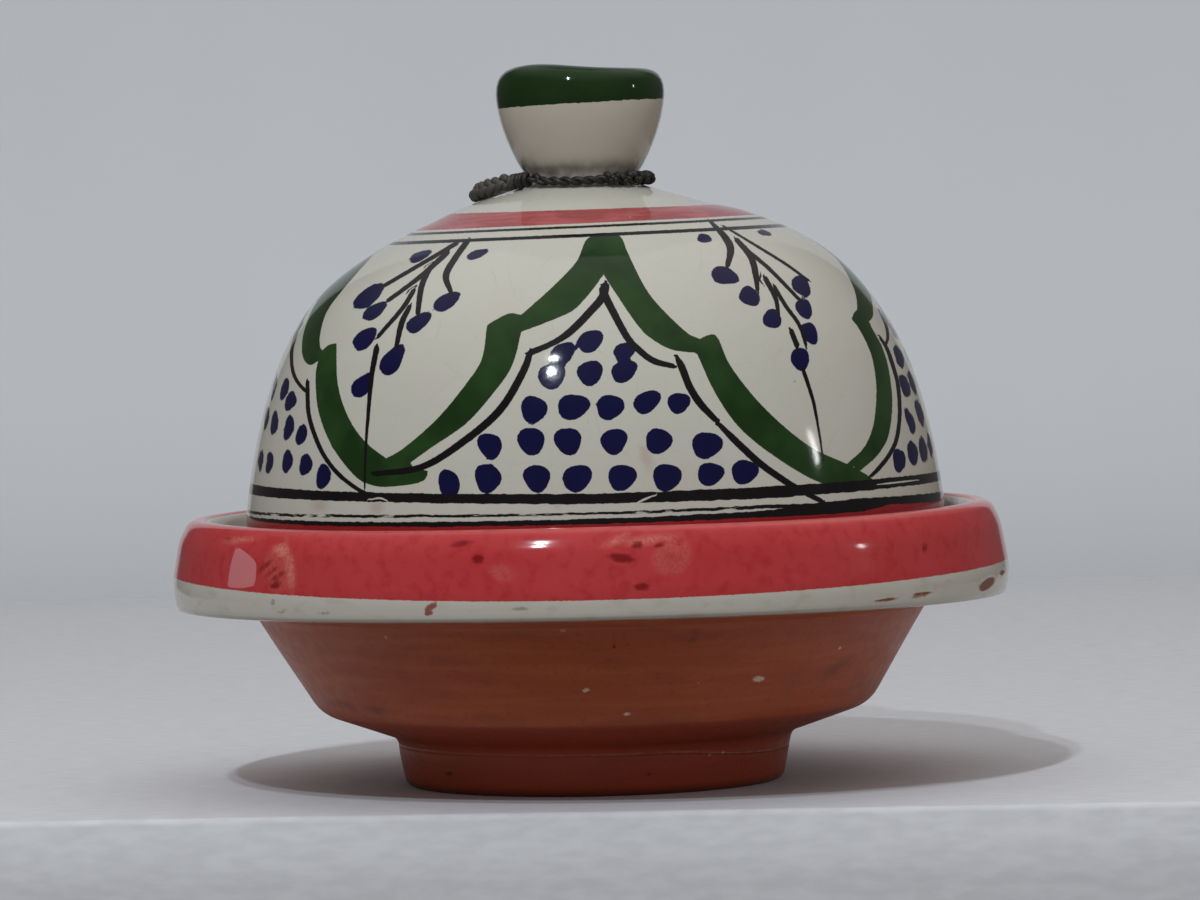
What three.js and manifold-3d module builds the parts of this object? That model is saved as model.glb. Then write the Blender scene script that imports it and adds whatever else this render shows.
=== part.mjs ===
// A small earthenware tagine: a footed dish with a wide flange, a domed lid with a cup-shaped knob,
// and a plaited cord tied round the knob's neck.
// Millimetres, +Z up. The origin is the centre of the foot ring, on the surface that the dish stands on.

import * as THREE from 'three';
import { mergeVertices } from 'three/addons/utils/BufferGeometryUtils.js';
import Module from 'manifold-3d';

const wasm = await Module();
wasm.setup();

const degrees = THREE.MathUtils.degToRad;
const point = (r, z) => new THREE.Vector2(r, z);
const countTo = (count) => [...Array(count).keys()];

// Fineness of the turned and tubular forms
const TURN_SIDES = 48;
const ROUND_STEPS = 2;
const DOME_STEPS = 14;
const KNOB_STEPS = 5;
const CORD_SIDES = 8;
const CORD_STEP = 3;
const LOOP_STEP = degrees(15);
const WRAP_SIDES = 12;
const LUMP_SIDES = 10;
const LUMP_RINGS = 8;

// Foot ring of the dish
const FOOT_R = 40.6;
const FOOT_H = 10.4;
const FOOT_FLARE = 1.9;
const FOOT_RING_W = 8;
const FOOT_RECESS = 3.5;
const FOOT_RECESS_ROUND = 1.6;
const FOOT_EDGE_ROUND = 1.8;
const FOOT_RIDGE_DROP = 3.4;
const FOOT_RIDGE_OUT = 1.4;
const FOOT_RIDGE_ROUND = 0.6;

// Bowl of the dish, from the foot to the flange
const BOWL_WALL = 6;
const BOWL_WALL_H = 22.5;
const BOWL_WALL_LEAN = degrees(30.4);
const BOWL_FLOOR = 8.5;
const BELLY_RISE = 4.9;
const BELLY_ROUND = 4;
const BELLY_INNER_ROUND = 9;
const THROAT_ROUND = 8;

// Flange of the dish, with its raised rim and the ledge that the lid stands on
const FLANGE_H = 21;
const FLANGE_BULGE = 2.8;
const FLANGE_BULGE_H = 7;
const FLANGE_UNDER_RISE = 2;
const FLANGE_EDGE_IN = 0.8;
const FLANGE_ROUND = 1.4;
const RIM_W = 5.2;
const RIM_FLARE = 2.2;
const RIM_OUTER_ROUND = 5.5;
const RIM_INNER_ROUND = 2;
const LEDGE_DEPTH = 8.8;
const LEDGE_W = 9.4;
const LEDGE_ROUND = 2;

// Lid, a dome on a short upright skirt
const LID_R = 75;
const LID_PLAY = 5;
const LID_WALL = 6;
const SKIRT_H = 8.7;
const SKIRT_EDGE_ROUND = 1.8;
const SEAT_GAP = 0.3;
const DOME_H = 69.3;
const DOME_FOOT_LEAN = degrees(7.1);
const DOME_FOOT_PULL = 52.7;
const SHOULDER_SLOPE = degrees(16.5);
const SHOULDER_PULL = 38.6;

// Knob of the lid, a shallow cup on a narrow neck
const NECK_R = 12.2;
const NECK_H = 2.6;
const NECK_ROUND = 1.2;
const KNOB_R = 18.1;
const KNOB_SIDE_H = 17.2;
const KNOB_FLARE = degrees(37.6);
const KNOB_FLARE_PULL = 3.3;
const KNOB_SIDE_PULL = 6.3;
const KNOB_RIM_RISE = 5.1;
const KNOB_RIM_IN = 5;
const KNOB_RIM_W = 2.3;
const KNOB_CUP_DEPTH = 6;
const KNOB_CUP_TAPER = 1.5;
const KNOB_CUP_ROUND = 3;

// Cord: a thin loop round the neck, a knot on it, a wrap that gathers it and a thicker tail
const CORD_D = 2.4;
const WRAP_D = 3.4;
const WRAP_EDGE_ROUND = 0.6;
const TAIL_D = 4;
const LUMP_D = 2.9;
const LUMP_COUNT = 7;
const LUMP_LIFT = 0.6;
const CORD_GAP = 0.3;
// Angles round the neck, from the front towards the right
const FRONT_RUN = [degrees(-38), degrees(15)];
const KNOT = [degrees(23), degrees(82)];
const BACK_RUN = [degrees(90), degrees(278)];
// Places seen from above: the wrap's two ends and the tail's route over the left shoulder
const WRAP_ENDS = [[-11.3, -8.9], [-15.35, -5.34]];
const TAIL_ROUTE = [
  [-15.6, -5.1], [-17.8, -3.2], [-19.8, -1.2], [-21.5, 1.2], [-22.5, 4], [-22.7, 7.2],
  [-22.2, 10.4], [-21, 13.5], [-19.2, 16.3], [-16.9, 18.7], [-14.1, 20.5], [-11, 21.8],
];

// Radii that follow from the lid, which stands in the flange
const LEDGE_R = LID_R + LID_PLAY;
const MOUTH_R = LID_R - LEDGE_W;
const RIM_INNER_R = LEDGE_R + RIM_FLARE;
const RIM_OUTER_R = RIM_INNER_R + RIM_W;
const FLANGE_R = RIM_OUTER_R + FLANGE_BULGE;
const BOWL_WALL_ACROSS = BOWL_WALL / Math.cos(BOWL_WALL_LEAN);
const BOWL_TOP_R = MOUTH_R + BOWL_WALL_ACROSS;
const BELLY_R = BOWL_TOP_R - BOWL_WALL_H * Math.tan(BOWL_WALL_LEAN);

// Heights, from the foot up
const BELLY_Z = FOOT_H + BELLY_RISE;
const FLANGE_Z = BELLY_Z + BOWL_WALL_H;
const RIM_Z = FLANGE_Z + FLANGE_H;
const LEDGE_Z = RIM_Z - LEDGE_DEPTH;
const LID_Z = LEDGE_Z + SEAT_GAP;
const DOME_FOOT_Z = LID_Z + SKIRT_H;
const SHOULDER_Z = DOME_FOOT_Z + DOME_H;
const KNOB_FOOT_Z = SHOULDER_Z + NECK_H;
const KNOB_WIDEST_Z = KNOB_FOOT_Z + KNOB_SIDE_H;
const KNOB_TOP_Z = KNOB_WIDEST_Z + KNOB_RIM_RISE;

// An outline through corners [r, z, round], where a round turns the corner into a short curve.
// A round takes less than half of the straight on either side of it.
function roundedOutline(corners) {
  const longest = 0.48;
  return corners.flatMap(([r, z, round], i) => {
    const corner = point(r, z);
    if (!round) return [corner];
    const back = point(...corners[i - 1]).sub(corner);
    const on = point(...corners[i + 1]).sub(corner);
    const reach = Math.min(round, longest * back.length(), longest * on.length());
    const start = back.setLength(reach).add(corner);
    const end = on.setLength(reach).add(corner);
    return new THREE.QuadraticBezierCurve(start, corner, end).getPoints(ROUND_STEPS);
  });
}

// A body turned about +Z from an outline that starts and ends on the axis.
function turned(outline) {
  return new THREE.LatheGeometry(outline, TURN_SIDES).rotateX(Math.PI / 2);
}

function dishGeometry() {
  const recessR = FOOT_R - FOOT_RING_W;
  const floorZ = FOOT_RECESS + BOWL_FLOOR;
  const innerBellyZ = BELLY_Z + BOWL_WALL / 2;
  const innerBellyR = MOUTH_R - (FLANGE_Z - innerBellyZ) * Math.tan(BOWL_WALL_LEAN);
  return turned(roundedOutline([
    [0, FOOT_RECESS],
    [recessR, FOOT_RECESS, FOOT_RECESS_ROUND],
    [recessR, 0, FOOT_EDGE_ROUND],
    [FOOT_R, 0, FOOT_EDGE_ROUND],
    [FOOT_R + FOOT_RIDGE_OUT, FOOT_H - FOOT_RIDGE_DROP, FOOT_RIDGE_ROUND],
    [FOOT_R + FOOT_FLARE, FOOT_H, FOOT_EDGE_ROUND],
    [BELLY_R, BELLY_Z, BELLY_ROUND],
    [BOWL_TOP_R, FLANGE_Z],
    [FLANGE_R - FLANGE_EDGE_IN, FLANGE_Z + FLANGE_UNDER_RISE, FLANGE_ROUND],
    [FLANGE_R, FLANGE_Z + FLANGE_BULGE_H, FLANGE_ROUND],
    [RIM_OUTER_R, RIM_Z, RIM_OUTER_ROUND],
    [RIM_INNER_R, RIM_Z, RIM_INNER_ROUND],
    [LEDGE_R, LEDGE_Z, LEDGE_ROUND],
    [MOUTH_R, LEDGE_Z, LEDGE_ROUND],
    [MOUTH_R, FLANGE_Z, THROAT_ROUND],
    [innerBellyR, innerBellyZ, BELLY_INNER_ROUND],
    [recessR, floorZ, BELLY_INNER_ROUND],
    [0, floorZ],
  ]));
}

// The dome's outer line, from the neck down to the top of the skirt.
const domeLine = new THREE.CubicBezierCurve(
  point(NECK_R, SHOULDER_Z),
  point(Math.cos(SHOULDER_SLOPE), -Math.sin(SHOULDER_SLOPE))
    .multiplyScalar(SHOULDER_PULL)
    .add(point(NECK_R, SHOULDER_Z)),
  point(-Math.sin(DOME_FOOT_LEAN), Math.cos(DOME_FOOT_LEAN))
    .multiplyScalar(DOME_FOOT_PULL)
    .add(point(LID_R, DOME_FOOT_Z)),
  point(LID_R, DOME_FOOT_Z),
);

// A point off the dome's outer line by a distance, which is positive outwards.
function besideDome(t, distance) {
  const along = domeLine.getTangent(t);
  return domeLine.getPoint(t).add(point(-along.y, along.x).multiplyScalar(distance));
}

function knobOutline() {
  const widest = point(KNOB_R, KNOB_WIDEST_Z);
  const crest = point(KNOB_R - KNOB_RIM_IN, KNOB_TOP_Z);
  const side = new THREE.CubicBezierCurve(
    point(NECK_R, KNOB_FOOT_Z),
    point(Math.sin(KNOB_FLARE), Math.cos(KNOB_FLARE))
      .multiplyScalar(KNOB_FLARE_PULL)
      .add(point(NECK_R, KNOB_FOOT_Z)),
    point(KNOB_R, KNOB_WIDEST_Z - KNOB_SIDE_PULL),
    widest,
  );
  const rim = new THREE.QuadraticBezierCurve(widest, point(KNOB_R, KNOB_TOP_Z), crest);
  const cupR = crest.x - KNOB_RIM_W;
  const cup = roundedOutline([
    [crest.x, crest.y],
    [cupR, KNOB_TOP_Z, KNOB_CUP_ROUND],
    [cupR - KNOB_CUP_TAPER, KNOB_TOP_Z - KNOB_CUP_DEPTH, KNOB_CUP_ROUND],
    [0, KNOB_TOP_Z - KNOB_CUP_DEPTH],
  ]);
  return [...side.getPoints(KNOB_STEPS), ...rim.getPoints(KNOB_STEPS).slice(1), ...cup.slice(1)];
}

function lidGeometry() {
  const shares = countTo(DOME_STEPS + 1).map((i) => i / DOME_STEPS);
  const inside = shares.map((t) => besideDome(t, -LID_WALL));
  const outside = shares.map((t) => domeLine.getPoint(1 - t)).slice(0, -1);
  const shoulder = outside.at(-1);
  const skirt = roundedOutline([
    [LID_R - LID_WALL, DOME_FOOT_Z],
    [LID_R - LID_WALL, LID_Z, SKIRT_EDGE_ROUND],
    [LID_R, LID_Z, SKIRT_EDGE_ROUND],
    [LID_R, DOME_FOOT_Z],
  ]).slice(1, -1);
  const neck = roundedOutline([
    [shoulder.x, shoulder.y],
    [NECK_R, SHOULDER_Z, NECK_ROUND],
    [NECK_R, KNOB_FOOT_Z],
  ]).slice(1, -1);
  return turned([point(0, inside[0].y), ...inside, ...skirt, ...outside, ...neck, ...knobOutline()]);
}

// The height at which something round of one radius lies on the lid's shoulder, off the axis by r.
function heightOnShoulder(r, radius) {
  let near = 0;
  let far = 1;
  while (far - near > Number.EPSILON) {
    const middle = (near + far) / 2;
    if (middle === near || middle === far) break;
    if (besideDome(middle, radius + CORD_GAP).x < r) near = middle;
    else far = middle;
  }
  return besideDome(near, radius + CORD_GAP).y;
}

function onShoulder([x, y], diameter) {
  return new THREE.Vector3(x, y, heightOnShoulder(Math.hypot(x, y), diameter / 2));
}

// A place on the cord's loop, for a cord of one diameter that lies against the neck.
function roundNeck(angle, diameter) {
  const r = NECK_R + NECK_ROUND / 2 + CORD_GAP + diameter / 2;
  return onShoulder([r * Math.sin(angle), -r * Math.cos(angle)], diameter);
}

function loopRoute([start, end]) {
  const count = Math.ceil((end - start) / LOOP_STEP);
  return countTo(count + 1).map((i) => roundNeck(start + ((end - start) * i) / count, CORD_D));
}

// A round tube of one diameter along a smooth curve through points.
function tube(points, diameter) {
  const extrudePath = new THREE.CatmullRomCurve3(points);
  const section = countTo(CORD_SIDES).map((i) => {
    const angle = (2 * Math.PI * i) / CORD_SIDES;
    return point(Math.cos(angle), Math.sin(angle)).multiplyScalar(diameter / 2);
  });
  const steps = Math.ceil(extrudePath.getLength() / CORD_STEP);
  return new THREE.ExtrudeGeometry(new THREE.Shape(section), { extrudePath, steps });
}

const [wrapStart, wrapEnd] = WRAP_ENDS.map((place) => onShoulder(place, WRAP_D));
const wrapLength = wrapStart.distanceTo(wrapEnd);
const wrapWay = wrapEnd.clone().sub(wrapStart).normalize();

// The front run leaves the wrap straight, then follows the neck as far as the knot.
function frontRunGeometry() {
  const atWrap = wrapStart.clone().addScaledVector(wrapWay, -CORD_GAP);
  const nearWrap = atWrap.clone().addScaledVector(wrapWay, -CORD_D);
  return tube([atWrap, nearWrap, ...loopRoute(FRONT_RUN)], CORD_D);
}

function backRunGeometry() {
  return tube(loopRoute(BACK_RUN), CORD_D);
}

function tailGeometry() {
  return tube(TAIL_ROUTE.map((place) => onShoulder(place, TAIL_D)), TAIL_D);
}

// The wrap is a short barrel, turned here about its own axis.
function wrapGeometry() {
  const outline = roundedOutline([
    [0, 0],
    [WRAP_D / 2, 0, WRAP_EDGE_ROUND],
    [WRAP_D / 2, wrapLength, WRAP_EDGE_ROUND],
    [0, wrapLength],
  ]);
  return new THREE.LatheGeometry(outline, WRAP_SIDES);
}

function solidOf(geometry) {
  geometry.deleteAttribute('normal');
  geometry.deleteAttribute('uv');
  const merged = mergeVertices(geometry);
  const vertProperties = new Float32Array(merged.attributes.position.array);
  const triVerts = new Uint32Array(merged.index.array);
  return new wasm.Manifold(new wasm.Mesh({ numProp: 3, vertProperties, triVerts }));
}

function geometryOf(solid) {
  const { vertProperties, triVerts } = solid.getMesh();
  const geometry = new THREE.BufferGeometry();
  geometry.setAttribute('position', new THREE.BufferAttribute(new Float32Array(vertProperties), 3));
  geometry.setIndex(new THREE.BufferAttribute(new Uint32Array(triVerts), 1));
  return geometry;
}

// The knot is a chain of lumps along the loop, every second one lifted a little.
function knotGeometry() {
  const [start, end] = KNOT;
  const lumps = countTo(LUMP_COUNT).map((i) => {
    const place = roundNeck(start + ((end - start) * i) / (LUMP_COUNT - 1), LUMP_D);
    place.z += i % 2 ? LUMP_LIFT : 0;
    return solidOf(new THREE.SphereGeometry(LUMP_D / 2, LUMP_SIDES, LUMP_RINGS).translate(...place));
  });
  return geometryOf(lumps.reduce((knot, lump) => knot.add(lump)));
}

const earthenware = { color: 0x9a5236, roughness: 0.55, metalness: 0 };
const whiteGlaze = { color: 0xd9d4c6, roughness: 0.15, metalness: 0 };
const darkCord = { color: 0x38352f, roughness: 0.7, metalness: 0 };

const tagine = new THREE.Group();

function add(name, geometry, finish) {
  const mesh = new THREE.Mesh(geometry, new THREE.MeshStandardMaterial(finish));
  mesh.name = name;
  tagine.add(mesh);
  return mesh;
}

add('dish', dishGeometry(), earthenware);
add('lid', lidGeometry(), whiteGlaze);
add('cord_front_run', frontRunGeometry(), darkCord);
add('cord_back_run', backRunGeometry(), darkCord);
add('cord_knot', knotGeometry(), darkCord);
add('cord_tail', tailGeometry(), darkCord);
const wrap = add('cord_wrap', wrapGeometry(), darkCord);
wrap.position.copy(wrapStart);
wrap.quaternion.setFromUnitVectors(new THREE.Vector3(0, 1, 0), wrapWay);

export default tagine;
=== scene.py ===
"""A small painted earthenware tagine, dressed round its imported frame.

The dish and the lid are turned meshes with a hand-thrown wobble. The lid's brushwork is kept as distances to
each painted shape, in mm, which its glaze turns into colour. The cord is made of separate strands.
Sizes are in mm and become metres at the end. Angles round the axis run from the front (-Y) towards +X.
"""

import math
import random

import bpy
import numpy as np
from mathutils import Matrix, Vector


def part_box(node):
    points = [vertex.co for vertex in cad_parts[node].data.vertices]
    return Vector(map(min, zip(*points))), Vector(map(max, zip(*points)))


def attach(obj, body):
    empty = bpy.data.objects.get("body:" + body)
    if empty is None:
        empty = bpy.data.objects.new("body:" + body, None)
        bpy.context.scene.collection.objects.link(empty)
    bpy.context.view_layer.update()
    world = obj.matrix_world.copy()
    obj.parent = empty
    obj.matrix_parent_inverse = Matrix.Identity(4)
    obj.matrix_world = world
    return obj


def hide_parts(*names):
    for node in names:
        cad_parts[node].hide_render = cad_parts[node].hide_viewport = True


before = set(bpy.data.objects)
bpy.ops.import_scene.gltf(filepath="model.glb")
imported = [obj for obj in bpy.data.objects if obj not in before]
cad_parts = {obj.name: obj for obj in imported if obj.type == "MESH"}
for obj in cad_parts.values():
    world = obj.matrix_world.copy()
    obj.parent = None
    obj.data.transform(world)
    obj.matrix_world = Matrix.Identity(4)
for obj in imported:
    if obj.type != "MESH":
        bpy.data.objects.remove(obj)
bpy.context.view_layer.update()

MM = 0.001

# Camera, which sees the frame of a picture of 1200 by 900 pixels
PHOTO_W = 1200
PHOTO_H = 900
FOCAL_PX = 6600
EYE_LEVEL_PX = 200
CAMERA_AWAY = 1420
CAMERA_HEIGHT = 125
CAMERA_RIGHT = 2.6
CAMERA_ROLL = math.radians(-1.27)
SENSOR_W = 36
PIXEL = CAMERA_AWAY / FOCAL_PX

# Main sizes of the solids, from the frame
LID_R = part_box("lid")[1].x / MM
LID_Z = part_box("lid")[0].z / MM
KNOB_TOP_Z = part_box("lid")[1].z / MM
RIM_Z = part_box("dish")[1].z / MM

# Foot and bowl of the dish
FOOT_R = 40.6
FOOT_H = 10.4
FOOT_FLARE = 1.9
FOOT_RIDGE_DROP = 3.4
FOOT_RIDGE_OUT = 1.4
FOOT_INNER_R = 32.6
FOOT_RECESS = 3.5
BELLY_R = 59.4
BELLY_Z = 16.3
BOWL_TOP_R = 72.6
BOWL_FLOOR_Z = 12
BOWL_INNER_R = 54.2
BOWL_INNER_Z = 18.3
BELLY_SET_RIGHT = 0.4

# Flange and rim of the dish
FLANGE_Z = 37.8
FLANGE_R = 90.2
FLANGE_EDGE_IN = 0.8
FLANGE_LOW_Z = 39.8
FLANGE_WIDEST_Z = 44.8
RIM_OUTER_R = 87.4
RIM_INNER_R = 82.2
LEDGE_R = 80
LEDGE_Z = 50
MOUTH_R = 65.6

# Lid
LID_WALL = 6
DOME_FOOT_Z = 59
SHOULDER_Z = 128.3
DOME_FOOT_LEAN = math.radians(7.1)
DOME_FOOT_PULL = 52.7
SHOULDER_SLOPE = math.radians(16.5)
SHOULDER_PULL = 38.6
NECK_R = 12.2
NECK_ROUND = 1.2
KNOB_FOOT_Z = 130.9
KNOB_R = 18.1
KNOB_WIDEST_Z = 148.1
KNOB_FLARE = math.radians(37.6)
KNOB_FLARE_PULL = 3.3
KNOB_SIDE_PULL = 6.3
KNOB_CREST_R = 13.1
KNOB_CUP_R = 10.8
KNOB_CUP_DEPTH = 6
KNOB_CUP_TAPER = 1.5

# Cord
CORD_D = 2.4
WRAP_D = 3.4
TAIL_D = 4
LUMP_D = 2.9
TAIL_SAG = 0.2
CORD_GAP = 0.3
LOOP_TURN = (math.radians(-38), math.radians(278))
KNOT_TURN = (math.radians(23), math.radians(74))
WRAP_ENDS = ((-11.3, -8.9), (-15.35, -5.34))
TAIL_ROUTE = (
    (-15.6, -5.1), (-17.8, -3.2), (-19.8, -1.2), (-21.5, 1.2), (-22.5, 4), (-22.7, 7.2),
    (-22.2, 10.4), (-21, 13.5), (-19.2, 16.3), (-16.9, 18.7), (-14.1, 20.5), (-11, 21.8),
)

# Fineness of the turned meshes: points round, and the step along the outline
DISH_SIDES = 480
LID_SIDES = 480
FINE_STEP = 0.9
KNOB_STEP = 1.3
COARSE_STEP = 3
ROUND_STEPS = 10
DOME_STEPS = 400
# A round takes up no more than this share of the sides at its corner
ROUND_SHARE = 0.48
TINY = 1e-9

# Specular level of the glaze, the burnished clay and the cord
SHEEN = 0.16
CLAY_SHEEN = 0.3
CORD_SHEEN = 0.3


# Outlines

def bezier(points, steps):
    """Points along the curve that the control points draw."""
    share = np.linspace(0, 1, steps + 1)[:, None]
    layer = [np.asarray(p, float) for p in points]
    while len(layer) > 1:
        layer = [a * (1 - share) + b * share for a, b in zip(layer, layer[1:])]
    return layer[0]


def rounded(corners):
    """An outline through corners (r, z) or (r, z, round); a round turns its corner into a short curve."""
    outline = []
    for i, (r, z, *size) in enumerate(corners):
        corner = np.array((r, z), float)
        if not size:
            outline.append(corner)
            continue
        back = np.array(corners[i - 1][:2]) - corner
        on = np.array(corners[i + 1][:2]) - corner
        reach = min(size[0], ROUND_SHARE * np.linalg.norm(back), ROUND_SHARE * np.linalg.norm(on))
        start = corner + back / np.linalg.norm(back) * reach
        end = corner + on / np.linalg.norm(on) * reach
        outline.extend(bezier((start, corner, end), ROUND_STEPS))
    return np.array(outline)


def travelled(line):
    """How far each point lies along a line."""
    return np.concatenate(([0], np.cumsum(np.linalg.norm(np.diff(line, axis=0), axis=1))))


def spaced(outline, step):
    """The same outline with points at equal steps."""
    lengths = travelled(outline)
    count = max(2, round(lengths[-1] / step))
    places = np.linspace(0, lengths[-1], count + 1)
    return np.stack([np.interp(places, lengths, column) for column in outline.T], axis=1)


def joined(*stretches):
    """Stretches of outline end to end, without the points that they share."""
    return np.concatenate([stretches[0]] + [s[1:] for s in stretches[1:]])


def smooth(points, steps=6):
    """A smooth line through points."""
    points = np.asarray(points, float)
    padded = np.concatenate(([2 * points[0] - points[1]], points, [2 * points[-1] - points[-2]]))
    share = np.linspace(0, 1, steps, endpoint=False)[:, None]
    line = []
    for before, start, end, after in zip(padded, padded[1:], padded[2:], padded[3:]):
        line.extend(
            start
            + share * (end - before) / 2
            + share**2 * (before - 2.5 * start + 2 * end - after / 2)
            + share**3 * (1.5 * (start - end) + (after - before) / 2)
        )
    return np.array(line + [points[-1]])


DOME = (
    (NECK_R, SHOULDER_Z),
    (
        NECK_R + SHOULDER_PULL * math.cos(SHOULDER_SLOPE),
        SHOULDER_Z - SHOULDER_PULL * math.sin(SHOULDER_SLOPE),
    ),
    (
        LID_R - DOME_FOOT_PULL * math.sin(DOME_FOOT_LEAN),
        DOME_FOOT_Z + DOME_FOOT_PULL * math.cos(DOME_FOOT_LEAN),
    ),
    (LID_R, DOME_FOOT_Z),
)
# The dome's outer line from the neck down to the skirt
DOME_LINE = bezier(DOME, DOME_STEPS)


def beside_dome(distance):
    """The dome's outer line moved outwards by a distance."""
    along = np.gradient(DOME_LINE, axis=0)
    along /= np.linalg.norm(along, axis=1)[:, None]
    return DOME_LINE + distance * np.stack((-along[:, 1], along[:, 0]), axis=1)


def on_shoulder(place, diameter):
    """Where the middle of a cord lies on the lid's shoulder, above a place in plan."""
    line = beside_dome(diameter / 2 + CORD_GAP)
    return np.array((*place, np.interp(math.hypot(*place), line[:, 0], line[:, 1])))


# Meshes

def placed(name, data):
    """A new object in the scene."""
    made = bpy.data.objects.new(name, data)
    bpy.context.scene.collection.objects.link(made)
    return made


def mesh_object(name, points, faces):
    mesh = bpy.data.meshes.new(name)
    mesh.from_pydata((np.asarray(points) * MM).tolist(), [], faces)
    mesh.shade_smooth()
    return placed(name, mesh)


def ring_faces(rings, sides, first=0):
    """Faces between rings of points that follow one another from a first point."""
    here = np.arange(sides)
    after = (here + 1) % sides
    start = first + sides * np.arange(rings - 1)[:, None]
    quads = np.stack((start + here, start + after, start + sides + after, start + sides + here), axis=2)
    return quads.reshape(-1, 4).tolist()


def turned(rows, sides):
    """Points and faces of a body turned about +Z from rows (r, z) that start and end on the axis."""
    angles = np.linspace(0, 2 * math.pi, sides, endpoint=False)
    ring = np.stack((np.sin(angles), -np.cos(angles)), axis=1)
    inner = rows[1:-1]
    rings = np.concatenate([np.column_stack((ring * r, np.full(sides, z))) for r, z in inner])
    points = np.concatenate(([(0, 0, rows[0][1])], rings, [(0, 0, rows[-1][1])]))
    here = np.arange(sides)
    after = (here + 1) % sides
    last = 1 + sides * (len(inner) - 1)
    start_fan = np.stack((np.zeros(sides, int), after + 1, here + 1), axis=1)
    end_fan = np.stack((last + here, last + after, np.full(sides, len(points) - 1)), axis=1)
    return points, start_fan.tolist() + ring_faces(len(inner), sides, 1) + end_fan.tolist()


def per_row(values, sides):
    """One value a row, spread over the points of a turned body."""
    return np.concatenate(([values[0]], np.repeat(values[1:-1], sides), [values[-1]]))


def azimuth(points):
    return np.degrees(np.arctan2(points[:, 0], -points[:, 1]))


def set_field(made, name, values):
    field = made.data.attributes.new(name, "FLOAT", "POINT")
    field.data.foreach_set("value", np.asarray(values, np.float32))


def step_up(values, low, high):
    """0 below low and 1 above high, with a smooth rise between."""
    share = np.clip((values - low) / (high - low), 0, 1)
    return share * share * (3 - 2 * share)


def waves(angle, terms):
    """A sum of waves round the axis, each with its reach, count and start."""
    return sum(reach * np.cos(count * angle + start) for reach, count, start in terms)


def grow(points, outwards):
    """Moves points away from the axis, each by its own distance."""
    r = np.hypot(points[:, 0], points[:, 1])
    points[:, :2] *= (1 + outwards / np.maximum(r, 1))[:, None]


# Camera

def camera_matrix():
    pitch = math.atan((PHOTO_H / 2 - EYE_LEVEL_PX) / FOCAL_PX)
    stand = Matrix.Translation(Vector((CAMERA_RIGHT, -CAMERA_AWAY, CAMERA_HEIGHT)) * MM)
    tilt = Matrix.Rotation(math.pi / 2 - pitch, 4, "X")
    return stand @ tilt @ Matrix.Rotation(CAMERA_ROLL, 4, "Z")


def make_camera():
    data = bpy.data.cameras.new("camera")
    data.sensor_width = SENSOR_W
    data.lens = SENSOR_W * FOCAL_PX / PHOTO_W
    camera = placed("camera", data)
    camera.matrix_world = camera_matrix()
    bpy.context.scene.camera = camera


def photo_pixels(points):
    """Where points, in mm, show in the picture."""
    inverse = np.array(camera_matrix().inverted())
    local = points * MM @ inverse[:3, :3].T + inverse[:3, 3]
    scale = -FOCAL_PX / local[:, 2]
    return np.stack((PHOTO_W / 2 + local[:, 0] * scale, PHOTO_H / 2 - local[:, 1] * scale), axis=1)


# Finishes

def srgb(red, green, blue):
    """A colour of 0 to 255 values as Blender's linear colour."""
    shares = [value / 255 for value in (red, green, blue)]
    return (*[s / 12.92 if s <= 0.04045 else ((s + 0.055) / 1.055) ** 2.4 for s in shares], 1)


class Nodes:
    """A node tree, with short names for the nodes that the finishes and the room share."""

    def __init__(self, tree):
        self.nodes = tree.nodes
        self.links = tree.links

    def add(self, kind, **settings):
        node = self.nodes.new(kind)
        for key, value in settings.items():
            setattr(node, key, value)
        return node

    def plug(self, socket, value):
        if isinstance(value, bpy.types.NodeSocket):
            self.links.new(value, socket)
        else:
            socket.default_value = value

    def math(self, operation, *values):
        node = self.add("ShaderNodeMath", operation=operation)
        for socket, value in zip(node.inputs, values):
            self.plug(socket, value)
        return node.outputs[0]

    def times(self, a, b):
        return self.math("MULTIPLY", a, b)

    def ramp(self, value, low, high, start=0.0, end=1.0):
        """From start, where the value is low, to end, where it is high."""
        node = self.add("ShaderNodeMapRange", interpolation_type="SMOOTHSTEP")
        for socket, given in zip(node.inputs, (value, low, high, start, end)):
            self.plug(socket, given)
        return node.outputs[0]

    def parts(self, vector):
        node = self.add("ShaderNodeSeparateXYZ")
        self.links.new(vector, node.inputs[0])
        return node.outputs


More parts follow.
